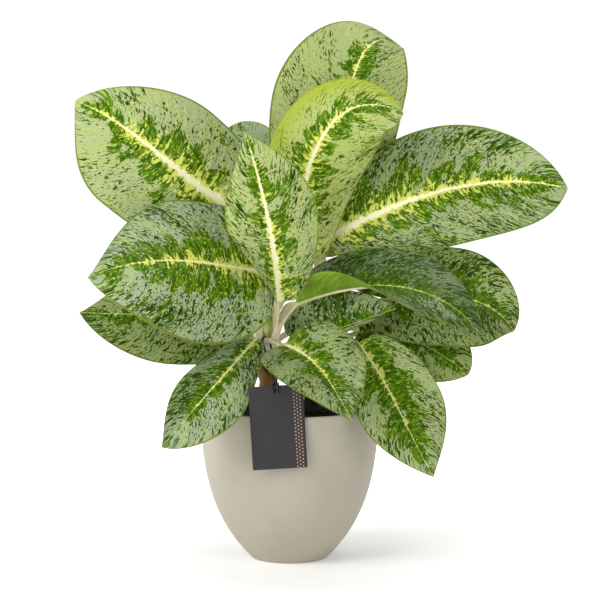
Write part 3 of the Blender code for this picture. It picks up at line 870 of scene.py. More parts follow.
class LeafFinish:
    """The three materials that all the leaves share."""

    def __init__(self, effects: SharedEffects) -> None:
        """Builds the upper face, the underside and the stalk."""
        kinds = (UpperFinish, UndersideFinish, StalkFinish)
        self.upper, self.under, self.stalk = (kind(effects).material for kind in kinds)


@dataclass(frozen=True)
class LeafForm:
    """Where one leaf is and what shape it has, in millimetres and degrees.

    The midrib runs through the given points. face is the way the upper face looks at the base and at the
    tip: round from the front towards +X, and up. Pairs are for the left and the right half. fold is how far
    each half is folded up from flat, more evenly with less ease, and curl how far it curls on from there to
    the margin: left half at base and tip, right half at base and tip. The foot is a cane, a height on it and
    the way round it from +X towards +Y. lobe is how far the halves reach back past the base, as a share of
    the length, and root where they reach furthest back, as a share of the width. arrive is how long the stalk
    keeps the midrib's direction, as a share of its span. base and tip are how full the outline is there, and
    widest is the share of the length where it is widest.

    The rest says how the upper face is marked: how far out its green zone goes, how dense its flecks are, the
    cream midrib's width and the yellow streaks' reach in millimetres, the shares of the blade where those two
    end, and how much painted light shining through, depth of painted shading and warmth it has. The painted
    shading is in part the leaves' own darker green. wing is how far the two wings of the sheath stand out
    from the stalk, in stalk radii.
    """

    name: str
    midrib: Route
    face: tuple[Pair, Pair]
    half: Pair
    fold: Quad
    curl: Quad
    foot: tuple[str, float, float]
    lobe: float = 0.05
    ease: float = 1.0
    arrive: float = 0.28
    root: Pair = (0.3, 0.3)
    base: Pair = (0.5, 0.5)
    tip: Pair = (0.4, 0.4)
    widest: Pair = (0.48, 0.48)
    zone: float = 0.42
    flecks: float = 0.0
    cream: float = 2.2
    reach: float = 26.0
    ends: Pair = (0.92, 1.0)
    # painted light shining through each half
    painted_glow: Pair = (0.0, 0.0)
    # painted shading of each half, in part the leaves' own darker green
    depth: Pair = (0.0, 0.0)
    warmth: float = 0.4
    wing: Pair = (0.0, 0.0)

    @property
    def node(self) -> str:
        """The CAD node that the leaf stands for."""
        return "leaf_" + self.name


@dataclass(frozen=True)
class CaneForm:
    """One cane: its foot in the soil, its top and its radius, in millimetres."""

    node: str
    foot: Pair
    top: Point
    radius: float


CANE_FOOT = 70.0
CANE_TAPER = 0.8
SOIL_TOP = 109.0
SOIL_CROWN = 3.0

CANES = (
    CaneForm("cane_front", (-14.0, -5.0), (-17.0, -7.0, 170.0), 7.0),
    CaneForm("cane_right", (16.0, 8.0), (20.0, 12.0, 192.0), 7.5),
    CaneForm("cane_back", (-18.0, 26.0), (-20.0, 32.0, 188.0), 7.0),
)

# Each leaf's amounts include painted light shining through and painted shading, for each half.
LEAVES = (
    LeafForm(
        "top_back", ((26, 22, 252), (46, 23, 360), (65, 37, 403), (91, 62, 400)), ((-5, 15), (10, 60)),
        (59.5, 45), (5, 0, 5, 0), (-10, -25, -10, -20), ("cane_right", 176, 110), base=(0.3, 0.2),
        tip=(0.6, 0.4), widest=(0.52, 0.6),
        zone=0.36, flecks=-0.01, cream=1.8, reach=14, ends=(0.95, 1.0), depth=(0.12, 0.12), warmth=0.6),
    LeafForm(
        "top_front", ((10, -2, 240), (18, -15, 314), (48, -36, 351), (86, -46, 347)),
        ((0, 5), (-15, 45)), (41, 45), (10, 0, 5, 0), (-60, -50, -20, 0), ("cane_front", 156, 90),
        base=(0.1, 0.1), tip=(0.4, 2.2), widest=(0.55, 0.58),
        # painted light shining through the left half of this leaf
        zone=0.5, cream=3.8, reach=19, ends=(0.92, 0.98), painted_glow=(0.8, 0.0), warmth=0.8),
    LeafForm(
        "front_upright", ((-9, -34, 204), (-14, -58, 258), (-23, -66, 300), (-33, -58, 333)),
        ((5, 5), (5, 10)), (33, 40), (75, 0, 0, 0), (-40, -40, -28, -30), ("cane_front", 154, 310), lobe=0.0,
        ease=2.2, root=(0.1, 0.3), base=(-1.1, 0.0), tip=(0.0, 0.3), widest=(0.5, 0.5),
        zone=0.5, flecks=0.03, cream=4.2, reach=13, ends=(0.93, 0.97), warmth=0.55),
    LeafForm(
        "upper_left", ((-48, 2, 277), (-93, -14, 310), (-125, -22, 336), (-164, -18, 357)),
        ((-5, 15), (-15, 15)), (57, 52), (5, 0, 5, 0), (-20, -15, -20, -15), ("cane_back", 172, 208),
        lobe=0.06, base=(0.9, 1.2), tip=(0.8, 0.5), widest=(0.54, 0.36),
        zone=0.46, flecks=-0.01, cream=4.4, reach=25, ends=(0.86, 0.95), warmth=0.45),
    LeafForm(
        "mid_left", ((-19, -18, 226), (-58, -46, 234), (-100, -76, 238), (-147, -94, 227)),
        ((-10, 25), (-35, 25)), (67, 58), (5, 0, 5, 0), (-20, -20, -20, -20), ("cane_front", 160, 186),
        lobe=0.04, base=(0.6, 1.2), tip=(1.4, 0.0), widest=(0.48, 0.42),
        zone=0.5, flecks=0.045, cream=1.7, reach=18, ends=(0.78, 0.9), warmth=0.1),
    LeafForm(
        "low_left_back", ((-36, -3, 180), (-77, -22, 191), (-122, -38, 195), (-159, -46, 197)),
        ((-10, 30), (-30, 25)), (42, 36), (10, 0, 10, 0), (-10, -10, -10, -10), ("cane_front", 136, 150),
        lobe=0.04, tip=(0.8, 0.1),
        zone=0.4, flecks=0.04, cream=0.2, reach=2, depth=(0.3, 0.3), warmth=0.6),
    LeafForm(
        "low_left_front", ((-25, -29, 176), (-50, -60, 150), (-74, -81, 124), (-94, -91, 101)),
        ((-20, 30), (-25, 15)), (31, 28), (-15, 0, 5, 0), (-35, -10, -20, -10), ("cane_front", 134, 204),
        lobe=0.0, arrive=0.08, root=(0.2, 0.15), base=(-0.6, -0.2), tip=(1.2, 0.3), widest=(0.55, 0.5),
        zone=0.3, flecks=0.06, cream=1.2, reach=7, ends=(0.75, 0.8), depth=(0.1, 0.25), warmth=0.1),
    LeafForm(
        "front_low", ((-3, -34, 171), (17, -68, 163), (32, -103, 148), (45, -129, 127)),
        ((10, 45), (20, 25)), (38, 34), (25, 0, 10, 0), (-20, -10, -20, -10), ("cane_front", 156, 258),
        lobe=0.02, base=(1.5, 1.1), tip=(0.3, 0.5), widest=(0.34, 0.42),
        zone=0.45, flecks=0.05, cream=3.0, reach=9, ends=(0.52, 0.8), depth=(0.1, 0.3), warmth=0.35),
    LeafForm(
        "inner", ((4, -3, 171), (26, -9, 177), (51, -15, 186), (82, -26, 198)), ((0, 12), (10, 20)),
        (32, 5), (5, 0, 5, 0), (-15, -10, -15, -10), ("cane_front", 138, 40), lobe=0.08, base=(1.0, 0.5),
        tip=(0.5, 0.0), widest=(0.32, 0.4),
        zone=0.3, flecks=0.08, cream=0.4, reach=4, ends=(0.6, 0.6), depth=(0.05, 0.05), warmth=0.1),
    LeafForm(
        "right_large", ((30, 6, 250), (75, -2, 273), (150, -12, 294), (214, -18, 290)),
        ((0, 22), (5, 15)), (52, 46), (5, 0, 5, 0), (-15, -15, -15, -15), ("cane_right", 178, 320), lobe=0.0,
        base=(0.3, 0.1), tip=(0.7, 1.7), widest=(0.5, 0.5),
        zone=0.5, flecks=0.05, cream=3.6, reach=24, ends=(0.95, 1.0), depth=(0.08, 0.16), warmth=0.3,
        wing=(2.2, 2.0)),
    LeafForm(
        "right_mid", ((6, -11, 202), (42, -29, 214), (98, -54, 214), (144, -64, 182)),
        ((10, 35), (30, 40)), (37, 38), (0, 0, 120, -5), (-10, -10, 10, -10), ("cane_front", 162, 345),
        lobe=0.0, ease=2.0, base=(0.5, -0.6), tip=(0.6, 0.2), widest=(0.5, 0.55),
        zone=0.4, flecks=0.09, cream=0.0, reach=2.5, depth=(0.55, 0.3), warmth=0.1, wing=(2.8, 0.7)),
    LeafForm(
        "right_back", ((75, 14, 202), (118, 4, 206), (155, -10, 198), (173, -22, 180)),
        ((10, 30), (30, 25)), (44, 44), (5, 0, 5, 0), (-10, -10, -10, -10), ("cane_right", 160, 350),
        lobe=0.2, base=(0.7, 0.7), tip=(0.6, 2.2),
        zone=0.5, flecks=0.06, cream=0.2, reach=5, depth=(0.15, 0.3), warmth=0.5),
    LeafForm(
        "right_low", ((56, 16, 176), (90, 8, 172), (117, -2, 161), (139, -12, 145)),
        ((20, 40), (30, 20)), (34, 34), (5, 0, 5, 0), (-10, -10, -10, -10), ("cane_right", 136, 30),
        tip=(1.2, 1.4),
        zone=0.6, flecks=0.03, cream=0.0, reach=2, depth=(0.2, 0.1), warmth=0.6),
    LeafForm(
        "right_front", ((53, -23, 171), (74, -50, 141), (90, -66, 110), (108, -76, 76)),
        ((10, 25), (20, 10)), (38, 32), (10, 0, 10, 0), (-25, -15, -25, -15), ("cane_right", 138, 300),
        lobe=0.0, base=(0.3, 0.3), tip=(0.5, 0.4), widest=(0.5, 0.5),
        zone=0.6, flecks=0.03, cream=1.0, reach=8, ends=(0.8, 0.85), depth=(0.05, 0.05), warmth=0.4),
    LeafForm(
        "back_left", ((-16, 44, 246), (-28, 54, 285), (-36, 62, 318), (-38, 74, 342)),
        ((-20, 20), (-20, 40)), (34, 34), (10, 0, 10, 0), (-10, -10, -10, -10), ("cane_back", 178, 120),
        tip=(1.6, 1.6), zone=0.1, flecks=-0.01, cream=0.0, reach=0.0, depth=(0.15, 0.15), warmth=0.2),
    LeafForm(
        "rear_high", ((4, 58, 250), (6, 88, 284), (8, 118, 304), (10, 152, 306)),
        ((180, 70), (180, 40)), (40, 42), (10, 0, 10, 0), (-15, -15, -15, -15), ("cane_back", 166, 70),
        cream=2.6, reach=14),
    LeafForm(
        "rear_right", ((44, 44, 238), (66, 66, 252), (90, 88, 252), (112, 108, 238)),
        ((140, 70), (140, 40)), (42, 40), (10, 0, 10, 0), (-15, -15, -15, -15), ("cane_right", 162, 70),
        flecks=0.03, cream=2.4, reach=13),
    LeafForm(
        "rear_left", ((-44, 50, 222), (-66, 74, 234), (-88, 98, 232), (-106, 118, 216)),
        ((220, 65), (220, 35)), (40, 42), (10, 0, 10, 0), (-15, -15, -15, -15), ("cane_back", 158, 165),
        zone=0.4, cream=2.0, reach=12),
    LeafForm(
        "rear_low_right", ((30, 52, 184), (48, 82, 186), (64, 108, 174), (76, 128, 152)),
        ((150, 60), (150, 30)), (36, 38), (10, 0, 10, 0), (-15, -15, -15, -15), ("cane_back", 144, 40),
        cream=1.4, reach=9),
    LeafForm(
        "rear_low_left", ((-30, 60, 180), (-44, 86, 180), (-56, 110, 166), (-66, 128, 144)),
        ((200, 60), (200, 30)), (36, 36), (10, 0, 10, 0), (-15, -15, -15, -15), ("cane_back", 138, 105),
        flecks=0.03, cream=1.4, reach=9),
)


@dataclass
class Midrib:
    """The midrib of a leaf: a curve by length, with its side and upper directions."""

    form: LeafForm
    steps: int = 200

    def __post_init__(self) -> None:
        """Reads the curve of the leaf's form."""
        share = np.linspace(0, 1, self.steps + 1)
        self.places = along(self.form.midrib, share)
        self.lengths = distances(self.places)
        self.length = float(self.lengths[-1])
        self.tangents = unit(np.gradient(self.places, self.lengths, axis=0))
        (around_base, above_base), (around_tip, above_tip) = self.form.face
        around = np.radians(around_base + (around_tip - around_base) * share)
        above = np.radians(above_base + (above_tip - above_base) * share)
        look = np.stack([np.sin(around) * np.cos(above), -np.cos(around) * np.cos(above), np.sin(above)], -1)
        inward = np.sum(look * self.tangents, axis=1, keepdims=True)
        self.normals = unit(look - inward * self.tangents)
        self.sides = np.cross(self.tangents, self.normals)

    def frame(self, distance: Array) -> tuple[Array, Array, Array, Array]:
        """Reads the midrib at distances along it, straight on past its ends.

        Args:
            distance: Distances from the base in millimetres.

        Returns:
            Place, tangent, side and normal at each distance.
        """
        held = np.clip(distance, 0, self.length)
        place, tangent, side, normal = (
            np.stack([np.interp(held, self.lengths, rows[:, k]) for k in range(3)], -1)
            for rows in (self.places, self.tangents, self.sides, self.normals))
        return place + (distance - held)[..., None] * tangent, tangent, side, normal

    def base(self) -> tuple[Array, ...]:
        """Place, tangent, side and normal at the base."""
        return tuple(rows[0] for rows in self.frame(np.array([0.0])))


@dataclass
class Blade:
    """The blade of one leaf: its outline, its veins' run and its surface in space.

    Its marks are drawn from its number. rows are its steps from base to tip, and cells those from the midrib
    to the margin. Lengths are in millimetres, and each fade is from one share of the half's width to another.
    """

    form: LeafForm
    number: int
    rows: int = 72
    cells: int = 22
    outline_steps: int = 120
    curl_steps: int = 12
    vein_lean: float = 1.4
    vein_arch: float = 1.4
    vein_sweep: float = 0.06
    marks_step: float = 5.0
    quilt: float = 0.22
    quilt_in: Pair = (0.03, 0.2)
    quilt_out: Pair = (0.75, 1.0)
    channel_depth: float = 0.7
    channel_width: float = 2.2
    # painted light shining through fades in towards the margin; painted shading from the midrib out
    painted_glow_fade: Pair = (0.35, 1.0)
    painted_shade_fade: Pair = (0.0, 0.15)

    def __post_init__(self) -> None:
        """Works out the midrib."""
        self.rib = Midrib(self.form)

    def outline(self, half: Half, shares: Array) -> Array:
        """Margin of one flat half, from its rearmost lobe point to the tip.

        Args:
            half: Which half.
            shares: Where to read it, from 0 to 1.

        Returns:
            Distances across and along the blade.
        """
        form, length = self.form, self.rib.length
        width, base, tip = (pair[half.value] for pair in (form.half, form.base, form.tip))
        lobe, widest = form.lobe * length, form.widest[half.value] * length
        fine = np.linspace(0, 1, self.outline_steps)
        lower = bezier((
            (form.root[half.value] * width, -lobe), ((0.5 + 0.3 * base) * width, -lobe),
            (width, (0.6 - 0.35 * base) * widest), (width, widest)), fine)
        upper = bezier((
            (width, widest), (width, widest + (0.42 + 0.14 * tip) * (length - widest)),
            ((0.15 + 0.25 * tip) * width, (0.9 + 0.05 * tip) * length), (0, length)), fine)
        line = np.concatenate([lower, upper[1:]])
        run = distances(line)
        return np.stack([np.interp(shares * run[-1], run, line[:, k]) for k in range(2)], -1)

    def flat_half(self, half: Half) -> tuple[Array, Array]:
        """Flat places of one half: row by row from the basal edge to the tip, midrib to margin.

        Args:
            half: Which half.

        Returns:
            The places across and along the blade, and where each row's vein starts on the midrib.
        """
        across = np.linspace(0, 1, self.cells + 1)
        lobe = self.form.lobe * self.rib.length
        root = self.form.root[half.value] * self.form.half[half.value]
        first = bezier(((0, 0), (0.25 * root, -0.2 * lobe), (0.6 * root, -lobe), (root, -lobe)), across)
        starts = self.rib.length * np.linspace(0, 1, self.rows + 1) ** self.vein_lean
        margin = self.outline(half, np.linspace(0, 1, self.rows + 1))[1:, None]
        start = starts[1:, None]
        ahead = start + (margin[..., 1] - start) * across ** self.vein_arch
        grid = np.stack([margin[..., 0] * across, ahead], -1)
        return np.concatenate([first[None], grid]), starts

    def raised_half(self, half: Half) -> tuple[Array, Array, Array]:
        """Places in space of one half, folded up from the midrib and curled to the margin.

        Args:
            half: Which half.

        Returns:
            The places, their vein coordinates and their shares across and along.
        """
        form, rib = self.form, self.rib
        flat, row_starts = self.flat_half(half)
        starts = np.repeat(row_starts[:, None], flat.shape[1], axis=1)
        share = starts / rib.length
        place, tangent, side, normal = rib.frame(starts)
        place = place + (flat[..., 1] - starts)[..., None] * tangent
        pick = slice(2 * half.value, 2 * half.value + 2)
        (fold_base, fold_tip), (curl_base, curl_tip) = form.fold[pick], form.curl[pick]
        first = np.radians(fold_tip + (fold_base - fold_tip) * (1 - share) ** form.ease)
        bend = np.radians(curl_base + (curl_tip - curl_base) * share) / form.half[half.value]
        out = flat[..., 0]
        reach, lift = np.zeros_like(out), np.zeros_like(out)
        for step in range(self.curl_steps):
            angle = first + bend * out * (step + 0.5) / self.curl_steps
            reach += np.cos(angle) * out / self.curl_steps
            lift += np.sin(angle) * out / self.curl_steps
        places = place + half.sign * reach[..., None] * side + lift[..., None] * normal
        cell = np.linspace(0, 1, flat.shape[1])[None, :] + 0 * starts
        run = np.hypot(flat[:, -1:, 0], flat[:, -1:, 1] - row_starts[:, None]) * cell
        swept = starts - self.vein_sweep * rib.length * cell ** 3
        vein = np.stack([half.sign * run, swept, np.full_like(run, self.marks_step * self.number)], -1)
        shares = np.stack(
            [cell, share + (flat[..., 1] - starts) / rib.length, np.full_like(cell, form.warmth)], -1)
        return places, vein, shares

    def relief(self, vein: Array, shares: Array, across_mm: Array) -> Array:
        """Height of the quilting between the side veins and of the channel over the midrib.

        Args:
            vein: Vein coordinates.
            shares: Shares across and along.
            across_mm: Distance from the midrib.

        Returns:
            How far each place is raised, in millimetres.
        """
        across = shares[..., 0]
        window = smooth_share(across, *self.quilt_in) * (1 - smooth_share(across, *self.quilt_out))
        wave = np.cos(FULL_TURN * vein[..., 1] / VEIN_SPACING)
        ends = np.clip(1 - shares[..., 1], 0, 1)
        channel = -self.channel_depth * np.exp(-((across_mm / self.channel_width) ** 2)) * ends ** 0.5
        return self.quilt * wave * window * ends ** 0.5 + channel

    def tone(self, shares: Array, columns: int) -> tuple[Array, Array]:
        """The leaf's own amounts of each mark, at every place.

        Args:
            shares: Shares across and along.
            columns: How many columns the left half takes.

        Returns:
            Zone, flecks and cream width; and painted light shining through, painted shading and reach.
        """
        form = self.form
        across, lengthways = shares[..., 0], shares[..., 1]
        amounts = zip((form.cream, form.reach), form.ends)
        cream, reach = (amount * np.clip(end - lengthways, 0, 1) for amount, end in amounts)
        on_left = np.arange(across.shape[1]) < columns
        # painted light shining through, and painted shading, each for its own half
        painted_glow = np.where(on_left, *form.painted_glow) * smooth_share(across, *self.painted_glow_fade)
        depth = np.where(on_left, *form.depth) * smooth_share(across, *self.painted_shade_fade)
        marks = np.stack(np.broadcast_arrays(form.zone, form.flecks, cream), -1)
        return marks, np.stack([painted_glow, depth, reach], -1)

    def build(self) -> Thing:
        """Models the blade with its relief, as one open sheet.

        Returns:
            The blade, with its faces' normals turned the way its upper face looks.
        """
        halves = [self.raised_half(half) for half in Half]
        places, vein, shares = (
            np.concatenate([left[:, :0:-1], right], axis=1) for left, right in zip(*halves))
        normals = np.cross(np.gradient(places, axis=1), np.gradient(places, axis=0))
        lengths = np.linalg.norm(normals, axis=-1, keepdims=True)
        normals = np.where(lengths > 1e-9, normals / np.maximum(lengths, 1e-9), 0)
        normals[-1] = normals[-2].mean(axis=0)
        normals[0] = normals[1]
        middle = self.cells
        across_mm = np.linalg.norm(places - places[:, middle:middle + 1], axis=-1)
        places = places + self.relief(vein, shares, across_mm)[..., None] * normals
        places[-1] = places[-1].mean(axis=0)
        marks, tone = self.tone(shares, middle)
        blade = model_sheet(
            self.form.node + "_blade", places, {"vein": vein, "place": shares, "marks": marks, "tone": tone},
            closed=False)
        facing = sum((polygon.normal * polygon.area for polygon in blade.data.polygons), Vector())
        if facing.dot(Vector(normals.reshape(-1, 3).mean(axis=0))) < 0:
            edit_whole(blade, bpy.ops.mesh.flip_normals)
        return blade


@dataclass
class Cane:
    """One upright cane with its leaf scars. Sizes are in millimetres."""

    form: CaneForm
    sides: int = 28
    rings: int = 110
    scar_step: float = 8.5
    scar_rise: float = 0.5
    scar_width: float = 0.7
    bark_depth: float = 0.3
    taper_above_soil: Pair = (2.0, 10.0)
    dome: tuple[Pair, ...] = ((-0.8, 0.85), (0.0, 0.5), (0.0, 0.0))
    dome_height: float = 2.0

    def axis(self, height: float | Array) -> tuple[Array, Array]:
        """The cane's axis.

        Args:
            height: A height, or several.

        Returns:
            The axis's place at each height, and its upward direction.
        """
        foot = np.array([*self.form.foot, CANE_FOOT])
        rise = unit(np.array(self.form.top) - foot)
        return foot + rise * (np.asarray(height)[..., None] - CANE_FOOT) / rise[2], rise

    def radius(self, height: Array) -> Array:
        """The cane's radius with its scars.

        Args:
            height: Heights.

        Returns:
            The radius at each height.
        """
        low, high = (SOIL_TOP + SOIL_CROWN + above for above in self.taper_above_soil)
        taper = 1 - (1 - CANE_TAPER) * smooth_share(height, low, high)
        off = (height / self.scar_step) % 1.0 - 0.5
        scar = self.scar_rise * np.exp(-((off * self.scar_step / self.scar_width) ** 2))
        return self.form.radius * taper - self.bark_depth + scar

    def build(self, finish: Material) -> Thing:
        """Models the cane with a domed top.

        Args:
            finish: Its material.

        Returns:
            The cane.
        """
        top = self.form.top[2]
        shaft = np.linspace(CANE_FOOT, top - self.dome_height, self.rings)
        heights = np.concatenate([[CANE_FOOT], shaft, [top + drop for drop, _ in self.dome]])
        radii = self.radius(heights)
        radii[0] = 0
        radii[-3:] = radii[-4] * np.array([share for _, share in self.dome])
        turn = angles_round(self.sides)
        places = self.axis(heights)[0][:, None] + upright_rings(radii[:, None], turn, 0.0)
        grain = upright_rings(self.form.radius, turn, heights[:, None])
        cane = model_sheet(self.form.node + "_stem", places, {"grain": grain}, closed=True)
        return dress_smooth(cane, 60, finish)


@dataclass
class Stalk:
    """The stalk of one leaf: a sheath round the cane, a grooved petiole and the keel under the midrib.

    Sizes are in millimetres. Each fade is from one share of the free stalk's length to another.
    """

    form: LeafForm
    rib: Midrib
    cane: Cane
    number: int
    sides: int = 24
    foot_rows: int = 7
    free_rows: int = 34
    keel_rows: int = 30
    foot_radius: float = 3.2
    end_radius: float = 1.9
    keel_tip_radius: float = 0.35
    keel_taper: float = 0.8
    keel_reach: float = 0.93
    gap: float = 0.3
    run: float = 12.0
    leave_reach: float = 0.42
    sink: float = 1.0
    sink_share: float = 0.75
    width: float = 1.12
    wing_fade: Pair = (0.75, 1.0)
    groove: float = 0.55
    groove_width: float = 0.5
    groove_fade: Pair = (0.9, 1.1)
    sheath_length: float = 34.0
    sheath_share: float = 0.6
    sheath_turn: float = 105.0
    sheath_wall: float = 1.1
    sheath_flare: float = 1.2
    sheath_gap: float = 0.15
    cream_share: float = 0.85
    cream_fade: Pair = (0.4, 0.95)
    grain_step: float = 20.0
    grain_stretch: float = 0.12

    def __post_init__(self) -> None:
        """Works out which way the stalk leaves its cane."""
        way = math.radians(self.form.foot[2])
        self.outward = np.array([math.cos(way), math.sin(way), 0.0])

    def depth(self, radius: float | Array) -> float | Array:
        """How far the axis lies under the midrib."""
        return self.sink_share * radius + self.sink

    def route(self) -> tuple[Array, Array, int]:
        """The stalk's axis and radii from the foot on the cane to the keel's end.

        Returns:
            Places, radii and how many of them come before the blade's base.
        """
        axis, rise = self.cane.axis(self.form.foot[1])
        foot = axis + self.outward * (self.cane.form.radius * CANE_TAPER + self.foot_radius + self.gap)
        leave = foot + rise * self.run
        place, tangent, _, normal = self.rib.base()
        base = place - self.depth(self.end_radius) * normal
        span = np.linalg.norm(base - leave)
        corners = (
            leave, leave + rise * self.leave_reach * span, base - tangent * self.form.arrive * span, base)
        run = foot + np.linspace(0, 1, self.foot_rows)[:-1, None] * (leave - foot)
        free = bezier(corners, np.linspace(0, 1, self.free_rows))
        shares = np.linspace(0, 1, self.keel_rows)[1:]
        keel, _, _, normals = self.rib.frame(shares * self.keel_reach * self.rib.length)
        keel_radii = self.end_radius + (self.keel_tip_radius - self.end_radius) * shares ** self.keel_taper
        keel = keel - self.depth(keel_radii)[:, None] * normals
        before = len(run) + len(free)
        radii = np.concatenate([np.linspace(self.foot_radius, self.end_radius, before), keel_radii])
        return np.concatenate([run, free, keel]), radii, before

    def frames(self, places: Array, before: int) -> tuple[Array, Array]:
        """Side and upper directions along the stalk, turned evenly from the cane's side to the blade's face.

        Args:
            places: The axis.
            before: How many places come before the blade's base.

        Returns:
            Sides and ups.
        """
        tangents = unit(np.gradient(places, axis=0))
        ups = carried(tangents, -self.outward)
        sides = np.cross(tangents, ups)
        normal = self.rib.base()[3]
        error = math.atan2(np.dot(normal, sides[before - 1]), np.dot(normal, ups[before - 1]))
        turn = error * smooth_share(np.arange(len(places)) / (before - 1), 0.0, 1.0)
        turned = np.cos(turn)[:, None] * ups + np.sin(turn)[:, None] * sides
        return np.cross(tangents, turned), turned

    def build(self) -> Thing:
        """Models the stalk.

        Returns:
            The closed stalk, with its grain along it.
        """
        places, radii, before = self.route()
        sides, ups = self.frames(places, before)
        distance = distances(places)
        length = distance[before - 1]

        def fading(shares: Pair) -> Array:
            """One down to nothing between two shares of the free stalk's length, as a column."""
            return 1 - smooth_share(distance, shares[0] * length, shares[1] * length)[:, None]

        turn = angles_round(self.sides)
        across, up = np.cos(turn), np.sin(turn)
        wing = np.where(across < 0, *self.form.wing) * fading(self.wing_fade)
        groove = fading(self.groove_fade) * np.exp(-((across / self.groove_width) ** 2)) * (up > 0)
        wide, high = (self.width + wing) * across, up - self.groove * groove
        sections = wide[..., None] * sides[:, None] + high[..., None] * ups[:, None]
        sections = places[:, None] + radii[:, None, None] * sections
        blend = smooth_share(distance, 0.0, min(self.sheath_length, self.sheath_share * length))
        for k in np.flatnonzero(blend < 1):
            sheath = self.sheath_ring(places[k], sides[k], turn, blend[k])
            sections[k] = blend[k] * sections[k] + (1 - blend[k]) * sheath
        grain = upright_rings(radii[:, None], turn, self.grain_stretch * distance[:, None])
        grain[..., 0] += self.grain_step * self.number
        cream = np.zeros_like(grain)
        cream[..., 2] = self.cream_share * fading(self.cream_fade)
        return model_tube(self.form.node + "_stalk", sections, {"grain": grain, "place": cream})

    def sheath_ring(self, place: Array, side: Array, turn: Array, blend: float) -> Array:
        """The sheath's section round the cane, level with a place on the stalk.

        Args:
            place: The place on the stalk's axis.
            side: The stalk's side direction there.
            turn: Angles round the section.
            blend: How far the sheath has narrowed to the stalk.

        Returns:
            The section's places.
        """
        axis, _ = self.cane.axis(place[2])
        outward = unit((place - axis) * np.array([1.0, 1.0, 0.0]))
        lateral = np.cross(outward, np.array([0.0, 0.0, 1.0]))
        if np.dot(lateral, side) < 0:
            lateral = -lateral
        inner = self.cane.form.radius * CANE_TAPER + self.sheath_gap
        outer = inner + self.sheath_wall + self.sheath_flare * blend
        spread = math.radians(self.sheath_turn) * (1 - 0.5 * blend)
        quarter = 0.5 * math.pi
        outside = turn >= math.pi
        swing = np.where(outside, turn - 3 * quarter, quarter - turn) / quarter
        swing = np.where(turn == 0, 1.0, swing) * spread
        reach = np.where(outside, outer, inner)
        return axis + reach[:, None] * (np.cos(swing)[:, None] * outward + np.sin(swing)[:, None] * lateral)


@dataclass
class Leaf:
    """One whole leaf: blade, stalk and keel in one piece."""

    form: LeafForm
    number: int
    cane: Cane
    finish: LeafFinish
    thickness: float = 0.6

    def __post_init__(self) -> None:
        """Prepares the blade and the stalk."""
        self.blade = Blade(self.form, self.number)
        self.stalk = Stalk(self.form, self.blade.rib, self.cane, self.number)

    def build(self) -> Thing:
        """Models and dresses the leaf.

        Returns:
            The leaf.
        """
        blade = self.blade.build()
        dress(blade, self.finish.upper, self.finish.under)
        shell = blade.modifiers.new("thickness", "SOLIDIFY")
        shell.thickness = self.thickness * MM
        shell.offset = 0.0
        shell.material_offset = 1
        shell.material_offset_rim = 0
        shell.use_even_offset = False
        apply_modifiers(blade)
        dress_smooth(blade, 60)
        stalk = dress_smooth(self.stalk.build(), 60, self.finish.stalk)
        return join_pieces([blade, stalk], self.form.name + "_leaf")


class CaneFinish(Finish):
    """The canes' bark: olive green above, dry brown sheaths below, with dark scars.

    It is darker brown towards the foot, near the soil.
    """

    NAME = "cane bark"
    GLOSS = 0.3
    OLIVE = srgb(118, 130, 62)
    STRAW = srgb(146, 134, 84)
    DRY = srgb(146, 98, 40)
    SCAR = srgb(104, 72, 40)
    # darker brown towards the foot, near the soil
    DARKER_FOOT = srgb(52, 40, 26)
    STREAKS = Grain(0.4, 0.4, part=4.0, soft=0.15)
    STREAK_STRETCH = 0.12
    SCAR_SHARE = 0.7
    DRY_BELOW = (172.0, 160.0)
    DARKER_FOOT_BELOW = (134.0, 120.0)

    def paint(self) -> None:
        """Paints the surface."""
        x, y, z = self.parts(self.attribute("grain"))
        scar = abs(self.math("FRACT", z / Cane.scar_step) - 0.5).step(0.13, 0.04)
        streaks = self.effects.flecks(self, self.vector(x, y, z * self.STREAK_STRETCH), self.STREAKS, -0.02)
        colour = self.mix(streaks["Mask"], self.OLIVE, self.STRAW)
        colour = self.mix(z.step(*self.DRY_BELOW), colour, self.DRY)
        colour = self.mix(scar * self.SCAR_SHARE, colour, self.SCAR)
        # darker brown towards the foot, near the soil
        self.coat({
            "Base Color": self.mix(z.step(*self.DARKER_FOOT_BELOW), colour, self.DARKER_FOOT),
            "Roughness": streaks["Noise"] * 0.2 + 0.45,
            "Normal": self.bump(streaks["Noise"], distance=0.0008, strength=0.6)})


